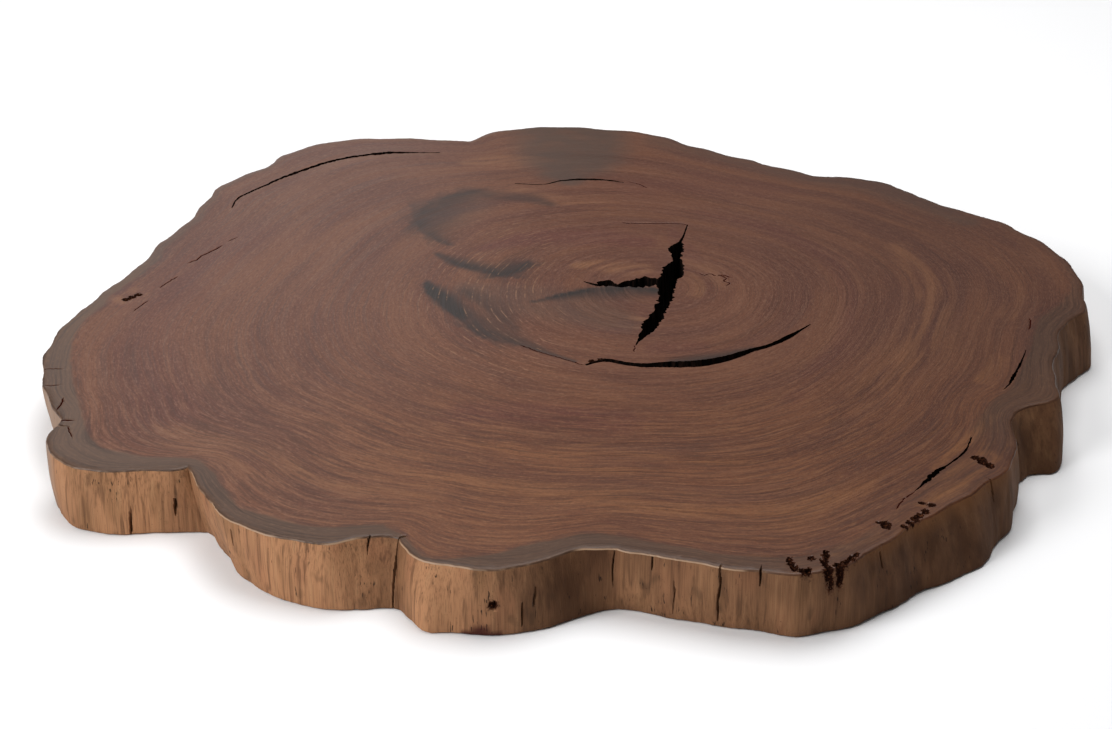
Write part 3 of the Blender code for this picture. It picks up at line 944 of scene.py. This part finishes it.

# The dark patch at the wall's foot, a stain with painted shade on it: bearing of its middle, half its
# width, its height, and how hard its edges are at the sides and at the top.
FOOT_STAIN_AND_SHADE = (-107.2, 22, 10)
FOOT_STAIN_AND_SHADE_EDGES = (6, 4)


def stroke(points, strength, hardness, rows):
    """How strongly a painted patch covers each plan point."""
    nearest = np.full(len(points), np.inf)
    for start, end in zip(np.array(rows, float), np.array(rows[1:], float)):
        run = end[:2] - start[:2]
        offset = points - start[:2]
        share = np.clip(offset @ run / max(run @ run, 1e-9), 0, 1)
        gap = offset - share[:, None] * run
        reaches = start[2:] + share[:, None] * (end[2:] - start[2:])
        on_left = run[0] * gap[:, 1] - run[1] * gap[:, 0] > 0
        reach = np.where(on_left, reaches[:, 0], reaches[:, 1])
        nearest = np.minimum(nearest, np.hypot(*gap.T) / reach)
    return strength * soft_step((1 - nearest) * hardness)


def strokes(points, every):
    """How strongly the strongest of several patches covers each plan point."""
    return np.max([stroke(points, *patch) for patch in every], axis=0)


def pit_nearness(points):
    """How close each point is to a rotted pit, from 0 outside to 1 at its middle."""
    nearest = np.zeros(len(points))
    ragged = wandering(points)
    for x, y, drop, *halves in PITS:
        offset = (ragged - (x, y, THICKNESS - drop)) / (np.array(halves) + ROT_MARGIN)
        nearest = np.maximum(nearest, np.clip(ROT_REACH - np.sqrt((offset ** 2).sum(1)), 0, 1))
    return nearest


def chip_strength(points):
    """How chipped the rim is at each plan point, from 0 to 1."""
    bearing = bearing_of(points)
    found = np.zeros(len(points))
    for first, last in CHIPPED_RIM:
        found = np.maximum(found, soft_step((bearing - first) + 0.5) * soft_step((last - bearing) + 0.5))
    return found


def foot_stain_and_shade(points):
    """How strongly the dark patch at the wall's foot, stain and painted shade, covers each point, from 0
    to 1.
    """
    bearing, half_width, height = FOOT_STAIN_AND_SHADE
    radius = np.hypot(points[:, 0], points[:, 1])
    aside = np.radians(bearing_of(points) - bearing) * radius / half_width
    rise = points[:, 2] / (height * np.sqrt(np.clip(1 - aside ** 2, 0.01, 1)))
    at_sides, at_top = FOOT_STAIN_AND_SHADE_EDGES
    return soft_step((1 - np.abs(aside)) * at_sides) * soft_step((1 - rise) * at_top)


def by_bearing(points, table):
    """A table's value at each plan point's bearing."""
    return np.interp(bearing_of(points), *np.array(table).T, period=360)


def attributes(points, growth, hairline):
    """What the finishes read at each point, by name."""
    plan = points[:, :2]
    return {
        "ring": growth.at(plan),
        "sapwood": growth.sapwood(plan),
        "stain": strokes(plan, STAINS),
        "grey_and_sheen": strokes(plan, GREY_WOOD_AND_SHEEN),
        "golden": strokes(plan, GOLDEN_WOOD),
        "red": strokes(plan, RED_WOOD),
        "pit": pit_nearness(points),
        "hairline": hairline,
        "tone_and_shade": by_bearing(plan, WALL_TONES_AND_SHADE),
        "shows": by_bearing(plan, SAPWOOD_SHOWS),
        "cool": by_bearing(plan, SAPWOOD_GREYNESS),
        "chip": chip_strength(plan),
        "foot": foot_stain_and_shade(points),
    }


def build_slice():
    """The whole slice as one closed mesh."""
    mesh = Mesh()
    wall = Wall()
    foot, rim = add_wall(mesh, wall)
    rim_plan = wall.rings[-1][:, :2]
    low = rim_plan.min(0)
    width = float(max(rim_plan.max(0) - low))
    stations = list(HEART_CRACKS.values())
    depths = [THICKNESS] * len(stations)
    for depth, polar_stations in RING_SHAKES.values():
        stations.append(ring_stations(polar_stations))
        depths.append(float(depth))
    names = [*HEART_CRACKS, *RING_SHAKES]
    outlines = [ribbon(rows, 20 * number, RAGGEDNESS.get(names[number], 1.0))
                for number, rows in enumerate(stations)]
    paths = [crack_centres(rows) for rows in stations]
    extra = top_extra_points(rim_plan, outlines)
    places, origins, wood, in_holes = triangulate(rim_plan, outlines, extra)
    numbers = place_points(mesh, places, origins, dict(enumerate(rim)), THICKNESS)
    for triangle in wood:
        mesh.add_face(numbers[triangle], TOP, face_map(places[triangle], low, width))

    on_rim = {index for index, sources in enumerate(origins) if any(s < len(rim) for s in sources)}
    starts = np.cumsum([len(rim), *(len(outline) for outline in outlines)])
    through_outlines = []
    through_numbers = []
    for strip, loop in enumerate(boundary_loops(wood, on_rim)):
        sources = [s for index in loop for s in origins[index]]
        owner = int(np.searchsorted(starts, sources[0], side="right")) - 1
        through = owner < len(HEART_CRACKS)
        used = paths[:len(HEART_CRACKS)] if through else [paths[owner]]
        taper = THROUGH_TAPER if through else BLIND_TAPER
        last, ring = add_crack(mesh, loop, numbers, places, used, depths[owner], taper, strip)
        if through:
            through_outlines.append(last[::-1])
            through_numbers.append(ring[::-1])
            continue
        floor = dict(zip(loop, ring))
        for triangle in in_holes[owner]:
            corners = [floor[index] for index in triangle]
            spot = (CRACK_MAP[0], CRACK_MAP[1] + strip * CRACK_MAP_PITCH)
            mesh.add_face(corners, CRACK, [spot, spot, spot])

    foot_plan = wall.rings[0][:, :2]
    grid = honeycomb(UNDER_SPACING, foot_plan.min(0), foot_plan.max(0))
    grid = clear_of(grid, np.concatenate([foot_plan, *through_outlines]), UNDER_SPACING * EDGE_CLEARANCE)
    for outline in through_outlines:
        grid = grid[~inside(grid, outline)]
    places, origins, wood, _ = triangulate(foot_plan, through_outlines, grid)
    fixed = dict(enumerate([*foot, *(number for ring in through_numbers for number in ring)]))
    numbers = place_points(mesh, places, origins, fixed, 0)
    for triangle in wood:
        back = triangle[::-1]
        mesh.add_face(numbers[back], UNDER, under_map(places[back], low, width))
    return mesh, Growth(rim_plan)


def make_object(mesh, growth):
    """The Blender object of the slice, with its finishes, its map and what they read."""
    points = np.array(mesh.points)
    hairline, cut = hairline_depths(points[:, :2])
    values = attributes(points, growth, hairline)
    on_top = points[:, 2] > THICKNESS - TOP_SLACK
    points[:, 2] -= np.where(on_top, cut, 0)
    points = sink_pits(points)
    placed = points * MM + np.array([*PITH, 0])
    data = bpy.data.meshes.new(PIECE)
    data.from_pydata(placed.tolist(), [], mesh.faces)
    data.polygons.foreach_set("material_index", mesh.finishes)
    layer = data.uv_layers.new(name="OFBake")
    layer.uv.foreach_set("vector", np.array(mesh.maps, np.float32).ravel())
    for name, value in values.items():
        attribute = data.attributes.new(name, "FLOAT", "POINT")
        attribute.data.foreach_set("value", value.astype(np.float32))
    for finish in (polished_top(), bare_wall(), sawn_underside(), crack_wood()):
        data.materials.append(finish)
    data.shade_smooth()
    data.set_sharp_from_angle(angle=math.radians(SMOOTH_ANGLE))
    data.update()
    made = bpy.data.objects.new(PIECE, data)
    bpy.context.scene.collection.objects.link(made)
    return made


def paint(red, green, blue):
    """A colour as a screen shows it, from 0 to 255, turned into the light that a shader needs."""
    shares = [c / 255 for c in (red, green, blue)]
    return (*(c / 12.92 if c <= 0.04045 else ((c + 0.055) / 1.055) ** 2.4 for c in shares), 1.0)


class Finish:
    """A material, with short ways to add its nodes."""

    def __init__(self, name, roughness, specular):
        self.material = bpy.data.materials.new(name)
        self.material.use_nodes = True
        self.tree = self.material.node_tree
        self.surface = self.tree.nodes["Principled BSDF"]
        self.surface.inputs["Roughness"].default_value = roughness
        self.surface.inputs["Specular IOR Level"].default_value = specular
        self.x, self.y, self.z = self.position()

    def add(self, kind, inputs, **settings):
        """Adds a node, sets it and feeds its inputs."""
        node = self.tree.nodes.new(kind)
        for name, value in settings.items():
            setattr(node, name, value)
        for key, value in inputs.items():
            self.feed(node.inputs[key], value)
        return node

    def feed(self, socket, value):
        """Joins a socket to another, or sets it to a value."""
        if isinstance(value, bpy.types.NodeSocket):
            self.tree.links.new(value, socket)
        else:
            socket.default_value = value

    def position(self):
        """Where a point is, in millimetres about the pith."""
        place = self.add("ShaderNodeTexCoord", {}).outputs["Object"]
        moved = self.add("ShaderNodeVectorMath", {0: place, 1: (*PITH, 0)}, operation="SUBTRACT")
        scaled = self.add("ShaderNodeVectorMath", {0: moved.outputs[0], 3: 1 / MM}, operation="SCALE")
        split = self.add("ShaderNodeSeparateXYZ", {0: scaled.outputs[0]})
        return tuple(split.outputs)

    def attribute(self, name):
        """A value kept at the mesh's points."""
        return self.add("ShaderNodeAttribute", {}, attribute_name=name).outputs["Fac"]

    def math(self, operation, a, b=0.0):
        """One sum."""
        return self.add("ShaderNodeMath", {0: a, 1: b}, operation=operation).outputs[0]

    def total(self, first, *others):
        """The sum of several values."""
        for other in others:
            first = self.math("ADD", first, other)
        return first

    def times(self, first, *others):
        """The product of several values."""
        for other in others:
            first = self.math("MULTIPLY", first, other)
        return first

    def noise(self, x, y, z, detail=2.0, shift=0.0):
        """Noise at a place, from about 0.2 to 0.8. The shift picks another part of it."""
        place = self.add("ShaderNodeCombineXYZ", {0: x, 1: y, 2: z})
        moved = self.add("ShaderNodeVectorMath", {0: place.outputs[0], 1: (shift, shift, shift)})
        inputs = {"Vector": moved.outputs[0], "Scale": 1.0, "Detail": detail}
        return self.add("ShaderNodeTexNoise", inputs).outputs["Fac"]

    def scaled_noise(self, places, sizes, detail=2.0, shift=0.0):
        """Noise at a place whose three measures are each divided by a size first."""
        parts = [self.math("DIVIDE", place, size) for place, size in zip(places, sizes)]
        return self.noise(*parts, detail, shift)

    def grain(self, ring, along, across, detail=2.0, shift=0.0):
        """Noise drawn out along the growth rings."""
        return self.scaled_noise((self.x, self.y, ring), (along, along, across), detail, shift)

    def lumps(self, ring, size, shift):
        """Noise in lumps of one size, which follow the rings' crowding as well."""
        return self.scaled_noise((self.x, self.y, ring), (size, size, size), shift=shift)

    def upright(self, across, along, detail=2.0, shift=0.0):
        """Noise drawn out up the wall."""
        return self.scaled_noise((self.x, self.y, self.z), (across, across, along), detail, shift)

    def band(self, value, low, high, strength=1.0):
        """0 below one value, the strength above another and smooth between."""
        inputs = {"Value": value, "From Min": low, "From Max": high, "To Max": strength}
        return self.add("ShaderNodeMapRange", inputs, interpolation_type="SMOOTHSTEP").outputs[0]

    def mix(self, share, a, b, blend="MIX"):
        """Two colours, mixed."""
        node = self.add("ShaderNodeMix", {0: share, 6: a, 7: b}, data_type="RGBA", blend_type=blend)
        return node.outputs[2]

    def over(self, colour, share, shade):
        """A colour with a share of a screen colour laid over it."""
        return self.mix(share, colour, paint(*shade))

    def marked(self, colour, marks):
        """A colour with marks over it.

        A mark is a pattern, its value where the mark starts and where it is full, its strength and
        its screen colour.
        """
        for pattern, start, full, strength, shade in marks:
            colour = self.over(colour, self.band(pattern, start, full, strength), shade)
        return colour

    def filtered(self, colour, share, tint):
        """A colour through a share of a tint, which is how much red, green and blue it lets by."""
        return self.mix(share, colour, (*tint, 1.0), "MULTIPLY")

    def lessen_gloss(self, dull, specular):
        """Takes the gloss away where the surface is dull."""
        left = self.times(self.math("SUBTRACT", 1.0, dull), specular)
        self.feed(self.surface.inputs["Specular IOR Level"], left)

    def bump(self, height, strength, distance_mm):
        """Fine relief."""
        inputs = {"Height": height, "Strength": strength, "Distance": distance_mm * MM}
        node = self.add("ShaderNodeBump", inputs)
        self.feed(self.surface.inputs["Normal"], node.outputs[0])


def heartwood(finish, ring):
    """The heartwood's colour: broad red-brown and tan bands with fine lines, all along the rings.

    It gives the fine lines and the short dashes as well, which the other finishes read.
    """
    broad = finish.grain(ring, 220, 46)
    sheet = finish.grain(ring, 120, 15, 1.0, 27.0)
    band = finish.grain(ring, 300, 9, 1.0, 5.0)
    line = finish.grain(ring, 150, 1.9, 1.0, 9.0)
    dash = finish.grain(ring, 9, 1.3, 1.0, 14.0)
    grit = finish.grain(ring, 3.4, 2.8, 1.0, 44.0)
    colour = finish.mix(finish.band(broad, 0.34, 0.66), paint(85, 47, 33), paint(100, 60, 40))
    colour = finish.over(colour, finish.times(finish.attribute("red"), 0.45), (84, 42, 35))
    golden = finish.times(finish.attribute("golden"), finish.band(sheet, 0.34, 0.6, 0.62))
    colour = finish.over(colour, golden, (128, 86, 58))
    colour = finish.marked(colour, (
        (band, 0.52, 0.76, 0.26, (64, 33, 22)),
        (band, 0.46, 0.26, 0.2, (118, 81, 60)),
        (line, 0.52, 0.76, 0.24, (125, 89, 71)),
        (line, 0.48, 0.26, 0.34, (52, 25, 12)),
        (dash, 0.52, 0.78, 0.28, (140, 106, 87)),
        (dash, 0.46, 0.24, 0.32, (50, 24, 11)),
        (grit, 0.54, 0.72, 0.24, (48, 24, 11)),
        (grit, 0.46, 0.28, 0.2, (130, 96, 76)),
    ))
    return by_place(finish, colour, ring), line, dash


def by_place(finish, colour, ring):
    """The heartwood's colour over the slab: warm ripples in front, a warm tint there that paints out the
    lamps' sheen, and painted shade towards the right.
    """
    front = finish.band(finish.y, -60.0, -420.0)
    ripple = finish.grain(ring, 48, 3.0, 1.0, 31.0)
    pale = finish.times(front, finish.band(ripple, 0.54, 0.68, 0.24))
    dark = finish.times(front, finish.band(ripple, 0.48, 0.34, 0.36))
    colour = finish.over(colour, pale, (136, 97, 72))
    colour = finish.over(colour, dark, (54, 26, 12))
    # The front, but not the far left, is tinted warmer and less grey: painted in place of the weaker sheen
    # that falls there.
    warmth = finish.times(front, finish.band(finish.x, -560.0, -200.0))
    colour = finish.filtered(colour, warmth, (0.98, 0.88, 0.62))
    # Painted shade: the top darker towards the right, away from the light.
    return finish.filtered(colour, finish.band(finish.x, 80.0, 340.0), (0.87, 0.83, 0.76))


def ring_lines(finish, ring, blotch):
    """How strongly the thin pale lines of the rings round the heart show."""
    wave = finish.math("SINE", finish.times(ring, 2 * math.pi / RING_PITCH))
    crest = finish.band(wave, 0.8, 1.0)
    near_heart = finish.times(finish.band(ring, 330.0, 250.0), finish.band(ring, 90.0, 150.0))
    on_left = finish.total(finish.band(finish.x, -60.0, -170.0, 0.85), 0.15)
    patchy = finish.band(finish.lumps(ring, 11, 12.0), 0.4, 0.56)
    broken = finish.times(finish.band(blotch, 0.45, 0.62), patchy)
    return finish.times(crest, near_heart, on_left, broken)


def stained(finish, colour, ring, blotch, line):
    """The heartwood with its grey patches and painted sheen, its dark stains and the pale ring lines over
    them.
    """
    uneven = finish.total(finish.band(blotch, 0.2, 0.6, 0.3), 0.7)
    grey_and_sheen = finish.times(finish.attribute("grey_and_sheen"), uneven, 0.75)
    colour = finish.over(colour, grey_and_sheen, (68, 55, 48))
    stain = finish.times(finish.attribute("stain"), uneven, 0.88)
    stain = finish.math("SUBTRACT", stain, finish.times(stain, finish.band(line, 0.5, 0.7, 0.16)))
    colour = finish.over(colour, stain, (38, 29, 26))
    return finish.over(colour, finish.times(ring_lines(finish, ring, blotch), 0.5), (140, 104, 78))


def with_sapwood(finish, colour, blotch, quick, line, dash):
    """The top's colour with the sapwood's band over it, and the dark line where the band starts."""
    wavy = finish.times(finish.math("SUBTRACT", blotch, 0.5), 12.0)
    sapwood = finish.total(finish.attribute("sapwood"), wavy)
    shows = finish.attribute("shows")
    light = finish.band(line, 0.35, 0.65)
    warm = finish.mix(light, paint(54, 35, 21), paint(68, 45, 28))
    cold = finish.mix(light, paint(70, 55, 45), paint(88, 70, 58))
    pale = finish.marked(finish.mix(finish.attribute("cool"), warm, cold), (
        (dash, 0.52, 0.76, 0.3, (108, 82, 62)),
        (line, 0.46, 0.3, 0.3, (44, 29, 21)),
    ))
    colour = finish.mix(finish.times(finish.band(sapwood, 0.0, 7.0, 0.85), shows), colour, pale)
    edge = finish.band(finish.math("ABSOLUTE", sapwood), 4.0, 0.5, 0.4)
    edge = finish.times(edge, shows, finish.band(quick, 0.35, 0.6))
    return finish.over(colour, edge, (52, 29, 26))


# How far down the rounded rim the chipped polish and the painted highlight are at their full.
WORN_AND_LIT_DEPTH = 1.1


def worn_and_lit_rim(finish, quick):
    """How pale the rounded rim is: full where the polish is chipped, and a little as a painted highlight
    where the wall is lit.
    """
    lit = finish.band(finish.attribute("tone_and_shade"), 0.2, 0.6)
    scuffs_and_highlight = finish.times(finish.band(quick, 0.44, 0.62, 0.4), lit)
    worn_and_lit = finish.math("MAXIMUM", finish.attribute("chip"), scuffs_and_highlight)
    return finish.times(worn_and_lit, finish.band(finish.z, THICKNESS - TOP_SLACK, THICKNESS - WORN_AND_LIT_DEPTH))


def rotted(finish, colour, halo):
    """A colour with the pits in it, crumbling round near-black floors, and where the floors are."""
    crumb = finish.upright(2.2, 2.2, shift=6.0)
    rot = finish.total(finish.attribute("pit"), crumb)
    colour = finish.over(colour, finish.band(rot, 0.62, 0.86, 0.7), halo)
    floor = finish.mix(finish.band(crumb, 0.54, 0.68), paint(30, 15, 10), paint(76, 44, 28))
    hollow = finish.band(rot, 0.9, 1.0)
    return finish.mix(hollow, colour, floor), hollow


def polished_top():
    """The polished face: heartwood with its stains, then the greyer sapwood out to the rim."""
    finish = Finish("polished_top", 0.42, 0.3)
    plain_ring = finish.attribute("ring")
    slow = finish.lumps(plain_ring, 80, 0.0)
    quick = finish.lumps(plain_ring, 18, 3.0)
    blotch = finish.lumps(plain_ring, 34, 8.0)
    ring = finish.total(plain_ring, finish.times(slow, 8.0), quick)
    colour, line, dash = heartwood(finish, ring)
    colour = stained(finish, colour, ring, blotch, line)
    colour = with_sapwood(finish, colour, blotch, quick, line, dash)
    # Painted shade: the top darker and browner towards the right, away from the light.
    colour = finish.filtered(colour, finish.band(finish.x, -250.0, 450.0, 0.8), (0.76, 0.7, 0.6))
    # Pale chips on the rim, and a painted highlight along it where the wall below is lit.
    colour = finish.over(colour, worn_and_lit_rim(finish, quick), (160, 130, 104))
    colour, hollow = rotted(finish, colour, (78, 46, 30))
    slit = finish.band(finish.attribute("hairline"), 0.05, 0.5)
    colour = finish.over(colour, slit, (48, 19, 14))
    finish.feed(finish.surface.inputs["Base Color"], colour)
    dull = finish.math("MAXIMUM", slit, hollow)
    finish.lessen_gloss(dull, 0.3)
    roughness = finish.total(finish.band(line, 0.3, 0.7, 0.1), finish.times(dull, 0.5), 0.38)
    finish.feed(finish.surface.inputs["Roughness"], roughness)
    finish.bump(finish.total(line, dash), 0.1, 0.3)
    return finish.material


def bare_wall():
    """The trunk's own surface without its bark: upright grain, dark slits and stains, with painted shade
    and highlights.
    """
    finish = Finish("bare_wall", 0.75, 0.2)
    tone_and_shade = finish.attribute("tone_and_shade")
    blotch = finish.upright(30, 60)
    streak = finish.upright(5, 120, 2.0, 5.0)
    fibre = finish.upright(1.3, 60, 1.0, 9.0)
    short = finish.upright(1.8, 12, 1.0, 14.0)
    patch = finish.upright(16, 40, 1.0, 18.0)
    smudge = finish.upright(13, 26, 1.0, 23.0)
    tint = finish.upright(26, 90, 1.0, 33.0)
    # How tan the wall looks: its tone with the painted shade and highlight from the table, made uneven.
    golden = finish.total(tone_and_shade, finish.times(blotch, 0.55))
    colour = finish.mix(finish.band(golden, 0.15, 1.35), paint(50, 26, 12), paint(172, 124, 88))
    lit = finish.band(tone_and_shade, 0.1, 0.7)
    olive = finish.times(finish.band(tint, 0.54, 0.7, 0.34), lit)
    rosy = finish.times(finish.band(tint, 0.46, 0.3, 0.3), lit)
    colour = finish.over(colour, olive, (104, 74, 45))
    colour = finish.over(colour, rosy, (150, 98, 70))
    colour = finish.over(colour, finish.band(streak, 0.52, 0.72, 0.55), (74, 48, 31))
    pale = finish.times(finish.band(streak, 0.46, 0.28, 0.4), tone_and_shade)
    colour = finish.over(colour, pale, (172, 131, 94))
    colour = finish.over(colour, finish.band(smudge, 0.62, 0.78, 0.4), (60, 42, 28))
    fibres = finish.times(finish.band(fibre, 0.45, 0.72, 0.6), finish.math("SQRT", tone_and_shade))
    colour = finish.filtered(colour, fibres, (0.5, 0.5, 0.5))
    slit = finish.times(finish.band(short, 0.64, 0.7), finish.band(patch, 0.57, 0.66))
    colour = finish.over(colour, finish.times(slit, 0.85), (30, 18, 12))
    # Pale grey on the far left of the wall: partly the wood's own grey, partly a painted highlight where
    # that wall faces the light.
    pale_and_lit_far_left = finish.band(finish.attribute("cool"), 0.9, 1.0, 0.7)
    colour = finish.over(colour, pale_and_lit_far_left, (134, 118, 106))
    # The dark patch at the wall's foot: a stain with painted shade on it.
    colour = finish.over(colour, finish.attribute("foot"), (64, 24, 18))
    # Paler tan towards the top of the wall where no sapwood shows: worn wood with a painted highlight on
    # the edge.
    no_sapwood = finish.band(finish.attribute("shows"), 0.65, 0.35)
    worn_and_lit = finish.times(no_sapwood, finish.band(finish.z, 54, 74, 0.55))
    colour = finish.over(colour, worn_and_lit, (116, 76, 45))
    colour, hollow = rotted(finish, colour, (72, 43, 26))
    finish.feed(finish.surface.inputs["Base Color"], colour)
    dull = finish.math("MAXIMUM", hollow, finish.band(tone_and_shade, 0.5, 0.15, 0.35))
    finish.lessen_gloss(dull, 0.2)
    finish.bump(finish.math("SUBTRACT", finish.times(fibre, -0.7), slit), 0.7, 0.6)
    return finish.material


def sawn_underside():
    """The sawn face: pale dull wood with its rings and straight saw marks."""
    finish = Finish("sawn_underside", 0.85, 0.2)
    colour, _, _ = heartwood(finish, finish.attribute("ring"))
    colour = finish.over(colour, 0.35, (150, 122, 98))
    saw = finish.scaled_noise((finish.x, finish.y, 0.0), (500, 2.4, 1.0))
    colour = finish.filtered(colour, finish.band(saw, 0.5, 0.65, 0.5), (0.62, 0.62, 0.62))
    finish.feed(finish.surface.inputs["Base Color"], colour)
    finish.bump(saw, 0.6, 0.5)
    return finish.material


def crack_wood():
    """The dark old wood inside the cracks."""
    finish = Finish("crack_wood", 0.9, 0.05)
    streak = finish.upright(3, 40)
    colour = finish.mix(finish.band(streak, 0.4, 0.7), paint(10, 6, 5), paint(34, 21, 16))
    finish.feed(finish.surface.inputs["Base Color"], colour)
    finish.bump(streak, 0.8, 1.0)
    return finish.material


# The floor: how far it reaches from the middle, and how far it lies below the slice, in metres.
FLOOR_REACH = 40
FLOOR_DROP = 0.0005

# The soft lights: name, place and the side of the square in metres, and power in watts. The key and the
# overhead light the slice. The two low ones behind put a sheen on the polish.
LIGHTS = (
    ("key", (-3.0, -2.2, 2.6), 2.0, 142),
    ("overhead", (0.3, 0.9, 3.8), 2.8, 134),
    ("sheen", (-0.85, 2.75, 1.0), 1.3, 6),
    ("right_sheen", (0.8, 2.7, 0.75), 1.1, 1.0),
)
SURROUND_STRENGTH = 0.12

# The photo's camera: its lens and sensor in millimetres, its height over the floor in degrees, and its
# distance from the point that it looks at, in metres.
LENS = 84.17
SENSOR_WIDTH = 36.0
ELEVATION = 27
DISTANCE = 2.985646
TARGET = (-0.02797, -0.14058, 0.075)


def pale_floor():
    """A plain pale studio floor under the slice."""
    data = bpy.data.meshes.new("floor")
    corners = [(x * FLOOR_REACH, y * FLOOR_REACH, 0) for x, y in ((-1, -1), (1, -1), (1, 1), (-1, 1))]
    data.from_pydata(corners, [], [(0, 1, 2, 3)])
    floor = bpy.data.objects.new("floor", data)
    bpy.context.scene.collection.objects.link(floor)
    floor.location.z = -FLOOR_DROP
    matte = bpy.data.materials.new("floor")
    matte.use_nodes = True
    surface = matte.node_tree.nodes["Principled BSDF"]
    surface.inputs["Base Color"].default_value = paint(243, 243, 244)
    surface.inputs["Roughness"].default_value = 0.9
    surface.inputs["Specular IOR Level"].default_value = 0.1
    data.materials.append(matte)


def soft_light(name, place, size, power):
    """A square studio light that faces the slice's middle."""
    data = bpy.data.lights.new(name, "AREA")
    data.shape = "SQUARE"
    data.size = size
    data.energy = power
    light = bpy.data.objects.new(name, data)
    light.location = place
    light.rotation_euler = (-Vector(place)).to_track_quat("-Z", "Y").to_euler()
    bpy.context.scene.collection.objects.link(light)


def studio():
    """Soft light from the left and above, low lights behind for the sheen, and a dim surround."""
    world = bpy.data.worlds.new("surround")
    world.use_nodes = True
    background = world.node_tree.nodes["Background"]
    background.inputs["Color"].default_value = (1.0, 1.0, 1.0, 1.0)
    background.inputs["Strength"].default_value = SURROUND_STRENGTH
    bpy.context.scene.world = world
    for light in LIGHTS:
        soft_light(*light)
    bpy.context.scene.view_settings.view_transform = "Standard"


def photo_camera():
    """The photo's view: from the front, 27 degrees above the floor, with a long lens."""
    data = bpy.data.cameras.new("camera")
    data.sensor_width = SENSOR_WIDTH
    data.lens = LENS
    camera = bpy.data.objects.new("camera", data)
    elevation = math.radians(ELEVATION)
    back = Vector((0, -math.cos(elevation), math.sin(elevation)))
    camera.location = Vector(TARGET) + back * DISTANCE
    camera.rotation_euler = (math.pi / 2 - elevation, 0, 0)
    bpy.context.scene.collection.objects.link(camera)
    bpy.context.scene.camera = camera


wood_slice = make_object(*build_slice())
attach(wood_slice, "root")
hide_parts(NODE)
pale_floor()
studio()
photo_camera()
